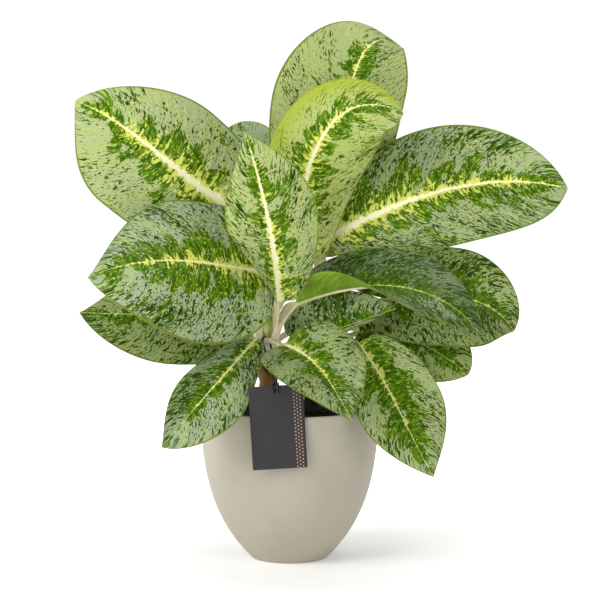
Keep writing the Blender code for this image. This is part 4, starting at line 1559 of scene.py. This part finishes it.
@dataclass
class RolledLeaf:
    """The youngest leaf, still rolled up at the crown of the front cane.

    Sizes are in millimetres. The margin winds up the roll: each winding is thinner by its thinning, and the
    seam stands out over a share of the turn.
    """

    route: Route = ((-17, -7, 170.7), (-16.5, -8, 180), (-16.5, -13, 189), (-19, -20, 197))
    radii: Quad = (3.8, 4.7, 3.5, 0.4)
    rings: int = 44
    sides: int = 40
    thinning: float = 0.12
    seam_depth: float = 0.5
    seam_share: float = 0.08
    seam_turns: float = 0.6
    grain_radius: float = 4.0
    grain_length: float = 3.0

    def build(self, finish: Material) -> Thing:
        """Models the roll with the margin that winds up it.

        Args:
            finish: Its material.

        Returns:
            The rolled leaf.
        """
        share = np.linspace(0, 1, self.rings)[:, None]
        places = along(self.route, share[:, 0])
        radii = np.interp(share, np.linspace(0, 1, len(self.radii)), self.radii)
        tangents = unit(np.gradient(places, axis=0))
        sides = carried(tangents, np.array([1.0, 0.0, 0.0]))
        others = np.cross(tangents, sides)
        turn = angles_round(self.sides)
        wound = (turn / FULL_TURN - self.seam_turns * share) % 1.0
        lip = radii * (1 - self.thinning * wound) + self.seam_depth * np.exp(-wound / self.seam_share)
        ring = np.cos(turn)[:, None] * sides[:, None] + np.sin(turn)[:, None] * others[:, None]
        grain = upright_rings(self.grain_radius, turn, self.grain_length * share)
        rolled = model_tube("rolled_leaf", places[:, None] + lip[..., None] * ring, {"grain": grain})
        return dress_smooth(rolled, 50, finish)


class RolledLeafFinish(Finish):
    """The rolled leaf's pale yellow-green, with darker streaks along it and a bright green tip."""

    NAME = "young leaf"
    GLOSS = 0.4
    PALE = srgb(226, 228, 150)
    STREAK = srgb(190, 206, 96)
    TIP = srgb(112, 156, 24)
    STREAKS = Grain(0.8, 0.8, part=2.0, soft=0.12)
    TIP_ABOVE = (0.178, 0.19)

    def paint(self) -> None:
        """Paints the surface."""
        streaks = self.effects.flecks(self, self.attribute("grain"), self.STREAKS, -0.04)
        colour = self.mix(streaks["Mask"], self.PALE, self.STREAK)
        height = self.parts(self.object_place())[2]
        self.coat({
            "Base Color": self.mix(height.step(*self.TIP_ABOVE), colour, self.TIP),
            "Roughness": streaks["Noise"] * 0.15 + 0.35})


@dataclass
class PotBody:
    """The outer pot: its turned wall, with a shallow groove under its foot, in millimetres and degrees."""

    height: float = 120.0
    rim_radius: float = 70.0
    foot_radius: float = 30.0
    belly_reach: float = 26.0
    shoulder_drop: float = 62.0
    wall: float = 2.2
    floor: float = 4.0
    groove: float = 1.0
    disc_radius: float = 18.0
    ring_inner: float = 22.0
    rounding: float = 0.6
    outer_steps: int = 44
    inner_steps: int = 30
    rim_turns: tuple[float, ...] = (22, 45, 67, 90, 113, 135, 158)
    sides: int = 144

    def wall_line(self, inset: float, start: float, count: int) -> Array:
        """The wall's profile from the foot up.

        Args:
            inset: How far in from the outer surface.
            start: Share of the wall's run to start at.
            count: How many places.

        Returns:
            Radius and height of each place.
        """
        share = np.linspace(start, 1, count)
        corners = (
            (self.foot_radius, 0), (self.foot_radius + self.belly_reach, self.belly_reach),
            (self.rim_radius, self.height - self.shoulder_drop), (self.rim_radius, self.height))
        step = 0.01
        line = bezier(corners, share)
        ahead = unit(bezier(corners, np.minimum(share + step, 1.0)) - bezier(corners, share - step))
        return line + inset * np.stack([-ahead[:, 1], ahead[:, 0]], -1)

    def profile(self) -> list[Pair]:
        """The whole profile, from the middle of the foot round the rim to the middle of the floor.

        Returns:
            Radius and height of each ring.
        """
        half, soft = 0.5 * self.wall, self.rounding
        outer = self.wall_line(0, 0.02, self.outer_steps)
        inner = self.wall_line(self.wall, 0.1, self.inner_steps)
        inner = inner[inner[:, 1] > self.floor + 1]
        outer[-1, 1] = inner[-1, 1] = self.height - half
        rim = [
            (self.rim_radius - half * (1 - math.cos(turn)), self.height - half * (1 - math.sin(turn)))
            for turn in np.radians(self.rim_turns)]
        under = [
            (self.disc_radius, 0), (self.disc_radius + soft, 0.5 * self.groove),
            (self.disc_radius + 1, self.groove), (self.ring_inner, self.groove),
            (self.ring_inner + soft, 0.5 * self.groove), (self.ring_inner + 1, 0),
            (self.foot_radius - soft, 0), (self.foot_radius, 0.15)]
        floor = [(inner[0, 0] - 2, self.floor)]
        return under + [tuple(p) for p in outer] + rim + [tuple(p) for p in inner[::-1]] + floor

    def build(self, finish: Material) -> Thing:
        """Models the pot."""
        return dress_smooth(model_turned("pot_shell", self.profile(), self.sides), 35, finish)


class PotFinish(Finish):
    """The pot's matte warm grey-cream, slightly mottled, with a fine even grain."""

    NAME = "pot matte"
    GLOSS = 0.35
    CREAM = srgb(170, 163, 147)
    CREAM_LIGHT = srgb(175, 168, 153)
    GRAIN_DARK = srgb(164, 156, 140)

    def paint(self) -> None:
        """Paints the surface."""
        place = self.object_place()
        grain = self.effects.grain(self, place, scale=1600.0, contrast=1.4)
        mottle = self.noise(place, scale=28.0, detail=3.0).step(0.3, 0.7)
        colour = self.mix(mottle, self.CREAM, self.CREAM_LIGHT)
        self.coat({
            "Base Color": self.mix(grain.step(0.62, 0.8), colour, self.GRAIN_DARK),
            "Roughness": grain * 0.16 + 0.5, "Normal": self.bump(grain, distance=0.0002, strength=0.35)})


@dataclass
class GrowerPot:
    """The grower's pot of thin black plastic inside the outer pot."""

    top: float = 115.5
    radius: float = 62.0
    foot_radius: float = 40.0
    seat: float = 15.3
    wall: float = 1.2
    lip: float = 3.0
    lip_reach: float = 1.5
    sides: int = 96

    def build(self, finish: Material) -> Thing:
        """Models the pot with its rolled lip.

        Args:
            finish: Its material.

        Returns:
            The pot.
        """
        foot = self.top - self.lip
        share = (foot - self.seat) / (self.top - self.seat)
        under_lip = self.foot_radius + (self.radius - self.foot_radius) * share
        lip = self.radius + self.lip_reach
        profile = [
            (self.foot_radius, self.seat), (under_lip, foot), (lip - 0.3, foot), (lip, foot + 0.3),
            (lip, self.top - 0.5), (lip - 0.3, self.top - 0.1), (lip - 0.8, self.top),
            (self.radius - self.wall + 0.5, self.top), (self.radius - self.wall, self.top - 0.4),
            (self.foot_radius - self.wall, self.seat + self.wall)]
        return dress_smooth(model_turned("inner_pot", profile, self.sides), 35, finish)


class BlackPlasticFinish(Finish):
    """Thin black plastic with a faint moulded grain."""

    NAME = "black plastic"
    GLOSS = 0.4
    BLACK = srgb(24, 24, 24)
    BLACK_LIGHT = srgb(38, 37, 36)

    def paint(self) -> None:
        """Paints the surface."""
        grain = self.effects.grain(self, self.object_place(), scale=900.0, contrast=1.2)
        self.coat({
            "Base Color": self.mix(grain, self.BLACK, self.BLACK_LIGHT), "Roughness": grain * 0.2 + 0.35})


@dataclass
class SoilBed:
    """The soil: a lumpy surface with loose crumbs on it."""

    radius: float = 58.0
    foot_radius: float = 38.5
    base: float = 17.0
    rings: int = 30
    sides: int = 96
    crumbs: int = 620
    crumb_size: Pair = (0.7, 2.4)
    rough: float = 0.25
    seed: int = 7

    @staticmethod
    def lump(x: Array, y: Array) -> Array:
        """The lumps of the surface.

        Args:
            x: How far to the right.
            y: How far back.

        Returns:
            Their height.
        """
        broad = np.sin(0.19 * x + 1.3) * np.cos(0.23 * y - 0.4) + 0.6 * np.sin(0.41 * x - 0.33 * y)
        fine = np.sin(1.3 * x + 0.7 * y) * np.cos(1.1 * y - 0.5 * x) + 0.6 * np.sin(2.3 * y + 1.9 * x)
        return 0.5 * broad + 0.22 * fine

    def surface(self, x: Array, y: Array) -> Array:
        """The soil's surface.

        Args:
            x: How far to the right.
            y: How far back.

        Returns:
            Its height.
        """
        share = np.hypot(x, y) / self.radius
        edge = 1 - smooth_share(share, 0.85, 1.0)
        return SOIL_TOP + SOIL_CROWN * (1 - share ** 2) + self.lump(x, y) * edge

    def build(self, finish: Material) -> Thing:
        """Models the bed of soil.

        Args:
            finish: Its material.

        Returns:
            The bed.
        """
        radii = np.linspace(1, 0.02, self.rings) * self.radius
        profile = [(self.foot_radius, self.base)] + [(radius, SOIL_TOP) for radius in radii]
        soil = model_turned("soil_bed", profile, self.sides)
        places = read_places(soil) / MM
        top = places[:, 2] > SOIL_TOP - 1
        places[top, 2] = self.surface(places[top, 0], places[top, 1])
        soil.data.vertices.foreach_set("co", (places * MM).ravel())
        soil.data.update()
        return dress_smooth(soil, 50, finish)

    def scatter(self, finish: Material) -> Thing:
        """Models one crumb and lays copies of it on the soil.

        Args:
            finish: Their material.

        Returns:
            The crumbs, as one piece.
        """
        draw = np.random.default_rng(self.seed)
        clear_selection()
        bpy.ops.mesh.primitive_ico_sphere_add(subdivisions=1, radius=1.0)
        crumb = bpy.context.active_object
        edit_whole(crumb, lambda: bpy.ops.transform.vertex_random(offset=self.rough, seed=self.seed))
        shape = np.array([vertex.co[:] for vertex in crumb.data.vertices])
        faces = [list(polygon.vertices) for polygon in crumb.data.polygons]
        bpy.data.objects.remove(crumb)
        places, polygons = [], []
        for k in range(self.crumbs):
            turn, out = draw.uniform(0, FULL_TURN), self.radius * math.sqrt(draw.uniform(0, 0.98))
            x, y = out * math.cos(turn), out * math.sin(turn)
            size = draw.uniform(0, 1) ** 3 * (self.crumb_size[1] - self.crumb_size[0]) + self.crumb_size[0]
            spin = np.array(Matrix.Rotation(draw.uniform(0, 6.28), 3, Vector(unit(draw.normal(size=3)))))
            squeeze = size * draw.uniform((0.6, 0.6, 0.45), (1.2, 1.0, 0.8))
            height = float(self.surface(np.array(x), np.array(y))) + 0.25 * size
            places.append((shape @ spin) * squeeze + np.array([x, y, height]))
            polygons.extend([[v + k * len(shape) for v in face] for face in faces])
        mesh = bpy.data.meshes.new("soil_crumbs")
        mesh.from_pydata((np.concatenate(places) * MM).tolist(), [], polygons)
        piece = bpy.data.objects.new("soil_crumbs", mesh)
        bpy.context.scene.collection.objects.link(piece)
        dress(piece, finish)
        return piece


class SoilFinish(Finish):
    """Dark damp peat with a few lighter fibres."""

    NAME = "peat"
    GLOSS = 0.2
    PEAT = srgb(22, 17, 14)
    PEAT_LIGHT = srgb(60, 46, 36)
    FIBRE = srgb(104, 82, 60)

    def paint(self) -> None:
        """Paints the surface."""
        place = self.object_place()
        lumps = self.noise(place, scale=260.0, detail=6.0, roughness=0.7)
        fibres = self.noise(place, scale=420.0).step(0.66, 0.74)
        colour = self.mix(lumps.step(0.35, 0.7), self.PEAT, self.PEAT_LIGHT)
        self.coat({
            "Base Color": self.mix(fibres, colour, self.FIBRE), "Roughness": lumps * 0.2 + 0.75,
            "Normal": self.bump(lumps, distance=0.002, strength=0.8)})


@dataclass
class HangTag:
    """The hang tag: a punched card, and the cord that it hangs by. Sizes are in millimetres and degrees.

    hitch is the way of one end of the cord from the stalk over the card's top edge, through the hole and back
    round, from the middle of that edge. The other end is its mirror image.
    """

    width: float = 41.0
    height: float = 62.5
    thick: float = 0.8
    middle: Point = (-8.4, -71.4, 113.0)
    lean: float = 4.0
    turn: float = 3.4
    bevel: float = 0.15
    hole_radius: float = 2.1
    hole_drop: float = 5.2
    hole_sides: int = 40
    strand_radius: float = 0.48
    strand_offset: float = 0.36
    strand_pitch: float = 2.4
    held_by: str = "front_low"
    held_at: Point = (-18.0, -16.9, 171.7)
    hold_radius: float = 0.85
    step: float = 0.3
    hitch: tuple[Point, ...] = (
        (0.9, 5.0, 3.6), (0.75, 1.6, 0.3), (0.75, 1.4, -2.5), (0.9, 1.1, -4.2), (1.1, 0.0, -6.0),
        (1.7, -1.3, -4.4), (2.1, -1.4, -2.2), (2.2, -1.3, -0.2), (2.2, 0.0, 1.3), (2.2, 1.9, 0.7),
        (1.7, 3.2, -0.7), (0.0, 3.6, -1.4))

    def place(self) -> Matrix:
        """Turns the card, built flat and upright round its own middle, to where it hangs.

        Returns:
            The turn and move, in metres.
        """
        lean = Matrix.Rotation(math.radians(-self.lean), 4, "X")
        turn = Matrix.Rotation(math.radians(-self.turn), 4, "Y")
        return Matrix.Translation(Vector(self.middle) * MM) @ lean @ turn

    def build_card(self, finish: Material) -> Thing:
        """Models the card: a bevelled sheet with its punched hole.

        Args:
            finish: Its material.

        Returns:
            The card, with its print laid out in millimetres on a UV map.
        """
        clear_selection()
        bpy.ops.mesh.primitive_cube_add(size=1.0)
        card = name_added("hang_tag")
        card.scale = (self.width * MM, self.thick * MM, self.height * MM)
        bpy.ops.object.transform_apply(location=True, rotation=True, scale=True)
        edit_whole(card, lambda: bpy.ops.mesh.bevel(offset=self.bevel * MM, segments=2, affect="EDGES"))
        drop = (self.height / 2 - self.hole_drop) * MM
        bpy.ops.mesh.primitive_cylinder_add(
            vertices=self.hole_sides, radius=self.hole_radius * MM, depth=4 * self.thick * MM,
            location=(0, 0, drop), rotation=(math.radians(90), 0, 0))
        punch = bpy.context.active_object
        bpy.ops.object.transform_apply(location=True, rotation=True, scale=True)
        cut = card.modifiers.new("hole", "BOOLEAN")
        cut.operation = "DIFFERENCE"
        cut.object = punch
        apply_modifiers(card)
        bpy.data.objects.remove(punch)
        drop_layouts(card)
        layout = card.data.uv_layers.new(name="Card")
        for loop in card.data.loops:
            corner = card.data.vertices[loop.vertex_index].co / MM
            layout.data[loop.index].uv = (corner.x + self.width / 2, corner.z + self.height / 2)
        card.data.transform(self.place())
        return dress_smooth(card, 30, finish)

    def cord_route(self, stalk: Stalk) -> Array:
        """The cord's loop: hitched through the card's hole and over its top edge, and round a stalk.

        Args:
            stalk: The stalk that it is looped round.

        Returns:
            Places along the closed loop, a step apart.
        """
        to_world, top = self.place(), self.height / 2
        hitch, mirrored = (
            [np.array(to_world @ (Vector((side * x, y, top + z)) * MM)) / MM for x, y, z in self.hitch]
            for side in (1, -1))
        places, radii, before = stalk.route()
        at = int(np.argmin(np.linalg.norm(places[:before] - np.array(self.held_at), axis=1)))
        hold, tangent = places[at], unit(places[at + 1] - places[at - 1])
        pull = hitch[0] - hold
        pull = unit(pull - np.dot(pull, tangent) * tangent)
        aside = np.cross(tangent, pull)
        if np.dot(aside, hitch[0] - mirrored[0]) < 0:
            aside = -aside
        around = [
            hold + (radii[at] + self.hold_radius) * (math.sin(turn) * aside - math.cos(turn) * pull)
            for turn in np.radians((-90, -45, 0, 45, 90))]
        return self.smoothed(around + hitch + mirrored[-2::-1])

    def smoothed(self, points: Sequence[Array]) -> Array:
        """Rounds a closed loop of points.

        Args:
            points: The points that it runs through.

        Returns:
            Places along the loop, a step apart.
        """
        smooth = []
        for k in range(len(points)):
            last, here, there, after = (points[(k + j) % len(points)] for j in (-1, 0, 1, 2))
            span = np.linalg.norm(there - here)
            steps = max(2, round(span / self.step))
            out, into = unit(there - last) * span / 3, unit(after - here) * span / 3
            smooth.extend(bezier((here, here + out, there - into, there), np.arange(steps) / steps))
        return np.array(smooth)

    def build_strand(self, name: str, line: Array) -> Thing:
        """Models one strand of the cord.

        Args:
            name: Its name.
            line: The places that its axis runs through.

        Returns:
            The strand.
        """
        curve = bpy.data.curves.new(name, "CURVE")
        curve.dimensions = "3D"
        curve.bevel_depth = self.strand_radius * MM
        curve.bevel_resolution = 1
        curve.resolution_u = 1
        curve.render_resolution_u = 0
        spline = curve.splines.new("POLY")
        spline.points.add(len(line) - 1)
        spline.points.foreach_set("co", np.column_stack([line * MM, np.ones(len(line))]).ravel())
        spline.use_cyclic_u = True
        strand = bpy.data.objects.new(name, curve)
        bpy.context.scene.collection.objects.link(strand)
        activate(strand)
        bpy.ops.object.convert(target="MESH")
        return bpy.context.active_object

    def build_cord(self, stalk: Stalk, finish: Material) -> Thing:
        """Models the cord as two strands twisted round each other.

        Args:
            stalk: The stalk that it is looped round.
            finish: Its material.

        Returns:
            The cord.
        """
        route = self.cord_route(stalk)
        tangents = unit(np.roll(route, -1, axis=0) - np.roll(route, 1, axis=0))
        sides = carried(tangents, np.cross(tangents[0], (0.0, 0.0, 1.0)))
        others = np.cross(tangents, sides)
        distance = distances(route)
        LOG.info("cord length %.1f mm", distance[-1])
        strands = []
        for strand in range(2):
            phase = (FULL_TURN * distance / self.strand_pitch + math.pi * strand)[:, None]
            line = route + self.strand_offset * (np.cos(phase) * sides + np.sin(phase) * others)
            strands.append(self.build_strand(f"strand_{strand}", line))
        return dress_smooth(join_pieces(strands, "hang_tag_cord"), 80, finish)


class CardFinish(Finish):
    """Charcoal card with a plain band of small rose-gold dots near its right edge, in staggered columns.

    Sizes are in millimetres. The band starts and ends that far from the card's edge.
    """

    NAME = "charcoal card"
    GLOSS = 0.3
    PAPER = srgb(44, 41, 42)
    PAPER_LIGHT = srgb(56, 53, 54)
    ROSE_GOLD = srgb(184, 150, 136)
    BAND_START = 8.4
    BAND_END = 1.8
    BAND_SOFT = 0.1
    COLUMN = 2.2
    ROW = 2.6
    DOT_INSIDE = 0.48
    DOT_OUTSIDE = 0.62

    def paint(self) -> None:
        """Paints the surface."""
        layout = self.value("ShaderNodeUVMap", uv_map="Card")
        u, v, _ = self.parts(layout)
        start, end = HangTag.width - self.BAND_START, HangTag.width - self.BAND_END
        column = (u - start) / self.COLUMN
        odd = self.math("MODULO", self.math("FLOOR", column), 2.0)
        off_u = (self.math("FRACT", column) - 0.5) * self.COLUMN
        off_v = (self.math("FRACT", v / self.ROW + odd * 0.5) - 0.5) * self.ROW
        dot = self.math("SQRT", off_u * off_u + off_v * off_v).step(self.DOT_OUTSIDE, self.DOT_INSIDE)
        band = u.step(start - self.BAND_SOFT, start) * u.step(end + self.BAND_SOFT, end)
        dot = dot * band
        grain = self.effects.grain(self, layout, scale=3.0, contrast=1.5)
        self.coat({
            "Base Color": self.mix(dot, self.mix(grain, self.PAPER, self.PAPER_LIGHT), self.ROSE_GOLD),
            "Metallic": dot * 0.7, "Roughness": dot * -0.3 + 0.72,
            "Normal": self.bump(grain, distance=0.0001, strength=0.5)})


class CordFinish(Finish):
    """Black cotton strands with a slight fuzz."""

    NAME = "black cotton"
    GLOSS = 0.2
    BLACK = srgb(12, 11, 12)
    BLACK_LIGHT = srgb(28, 27, 28)

    def paint(self) -> None:
        """Paints the surface."""
        fibres = self.noise(self.object_place(), scale=3000.0, detail=3.0)
        self.coat({
            "Base Color": self.mix(fibres, self.BLACK, self.BLACK_LIGHT), "Roughness": fibres * 0.2 + 0.7,
            "Sheen Weight": 0.3, "Sheen Roughness": 0.5})


class FloorFinish(Finish):
    """A pale floor that brightens to the white backdrop further out.

    It emits painted light, dimmer near the pot, where it brightens the pot's foot, and stronger further out.
    """

    NAME = "pale floor"
    GLOSS = 0.1
    PALE = srgb(250, 250, 250)
    GLOW_NEAR = 0.22
    GLOW_RISE = 0.6

    def paint(self) -> None:
        """Paints the surface."""
        place = self.object_place()
        away = self.value("ShaderNodeVectorMath", {0: place}, output="Value", operation="LENGTH")
        # painted light: the floor emits light, dimmer near the pot and stronger further out
        self.coat({
            "Base Color": self.PALE, "Roughness": 0.9, "Emission Color": WHITE,
            "Emission Strength": away.step(0.12, 0.6) * self.GLOW_RISE + self.GLOW_NEAR})


@dataclass(frozen=True)
class Softbox:
    """A square soft light that faces the plant: its place and side in metres, and its power in watts."""

    name: str
    place: Point
    side: float
    power: float

    def build(self, aim: Point) -> None:
        """Adds the light.

        Args:
            aim: What it faces.
        """
        way = Vector(aim) - Vector(self.place)
        bpy.ops.object.light_add(
            type="AREA", location=self.place, rotation=way.to_track_quat("-Z", "Y").to_euler())
        light = name_added(self.name).data
        light.shape = "SQUARE"
        light.size = self.side
        light.energy = self.power


@dataclass
class Studio:
    """The stage: floor, lights, world and the camera at the photograph's angle, in metres and degrees."""

    lens: float = 115.6
    sensor: float = 36.0
    camera_place: Point = (0.0082, -1.5, 0.330)
    camera_pitch: float = 4.86
    view_depth: float = 100.0
    floor_side: float = 30.0
    ambient: float = 0.34
    backdrop: float = 1.02
    aim: Point = (0.0, 0.0, 0.2)
    lights: tuple[Softbox, ...] = (
        Softbox("key light", (-1.6, -1.2, 1.3), 1.4, 40.0),
        Softbox("fill light", (1.3, -1.6, 0.9), 1.4, 8.0),
        Softbox("top light", (0.2, 0.5, 1.7), 1.2, 17.0),
    )

    def build_camera(self) -> None:
        """Places the camera."""
        bpy.ops.object.camera_add(
            location=self.camera_place, rotation=(math.radians(90 - self.camera_pitch), 0, 0))
        camera = bpy.context.active_object
        camera.data.lens = self.lens
        camera.data.sensor_width = self.sensor
        camera.data.clip_end = self.view_depth
        bpy.context.scene.camera = camera

    def build_floor(self, finish: Material) -> None:
        """Lays the floor.

        Args:
            finish: Its material.
        """
        bpy.ops.mesh.primitive_plane_add(size=self.floor_side)
        floor = name_added("floor")
        dress(floor, finish)

    def build_world(self) -> None:
        """Makes an even white surround, whiter where the camera sees it."""
        world = bpy.data.worlds.new("studio")
        world.use_nodes = True
        graph = Graph(world.node_tree)
        seen = graph.value("ShaderNodeLightPath", output="Is Camera Ray")
        strength = seen * (self.backdrop - self.ambient) + self.ambient
        graph.fill(world.node_tree.nodes["Background"], {"Color": WHITE, "Strength": strength})
        bpy.context.scene.world = world

    def build(self, effects: SharedEffects) -> None:
        """Builds the whole stage.

        Args:
            effects: The shared node groups.
        """
        clear_selection()
        self.build_camera()
        self.build_floor(FloorFinish(effects).material)
        self.build_world()
        for light in self.lights:
            light.build(self.aim)
        view = bpy.context.scene.view_settings
        view.view_transform = "Standard"
        view.look = "None"


@dataclass
class Piece:
    """A finished piece, its finish slot and the CAD nodes that it stands for."""

    thing: Thing
    slot: str
    nodes: tuple[str, ...] = ()

    def hand_over(self) -> None:
        """Rides the piece on the model's body and reports it."""
        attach(self.thing, ROOT_BODY)
        if self.nodes:
            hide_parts(*self.nodes)
        faces = len(self.thing.data.polygons)
        LOG.info("%s: %d faces, for %s", self.thing.name, faces, self.nodes or "itself")


@dataclass
class Evergreen:
    """The whole plant in its pot."""

    effects: SharedEffects

    def __post_init__(self) -> None:
        """Prepares the canes and the leaves."""
        self.canes = {form.node: Cane(form) for form in CANES}
        finish = LeafFinish(self.effects)
        self.leaves = [
            Leaf(form, number, self.canes[form.foot[0]], finish) for number, form in enumerate(LEAVES, 1)]

    def build_leaves(self) -> list[Piece]:
        """Models all the leaves and the rolled one.

        Returns:
            Their pieces.
        """
        pieces = [Piece(leaf.build(), "leaf", (leaf.form.node,)) for leaf in self.leaves]
        rolled = RolledLeaf().build(RolledLeafFinish(self.effects).material)
        return pieces + [Piece(rolled, "young_leaf", ("young_leaf",))]

    def build_canes(self) -> list[Piece]:
        """Models the canes."""
        bark = CaneFinish(self.effects).material
        return [Piece(cane.build(bark), "cane", (node,)) for node, cane in self.canes.items()]

    def build_pots(self) -> list[Piece]:
        """Models the outer pot, the grower's pot and the soil.

        Returns:
            Their pieces.
        """
        bed, peat = SoilBed(), SoilFinish(self.effects).material
        plastic = BlackPlasticFinish(self.effects).material
        return [
            Piece(PotBody().build(PotFinish(self.effects).material), "pot", ("pot",)),
            Piece(GrowerPot().build(plastic), "grower_pot", ("grower_pot",)),
            Piece(bed.build(peat), "soil", ("soil",)),
            Piece(bed.scatter(peat), "soil"),
        ]

    def build_tag(self) -> list[Piece]:
        """Models the hang tag and its cord.

        Returns:
            Their pieces.
        """
        tag = HangTag()
        held = next(leaf.stalk for leaf in self.leaves if leaf.form.name == tag.held_by)
        return [
            Piece(tag.build_card(CardFinish(self.effects).material), "tag_card", ("tag_card",)),
            Piece(tag.build_cord(held, CordFinish(self.effects).material), "tag_cord", ("tag_cord",)),
        ]

    def build(self) -> None:
        """Builds every piece and hands it over."""
        for pieces in (self.build_pots(), self.build_canes(), self.build_leaves(), self.build_tag()):
            for piece in pieces:
                piece.hand_over()


def main() -> None:
    """Loads the frame and builds the stage and the plant."""
    logging.basicConfig(level=logging.INFO, format="%(name)s: %(message)s")
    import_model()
    effects = SharedEffects()
    Studio().build(effects)
    Evergreen(effects).build()
    clear_selection()


if __name__ == "__main__":
    main()
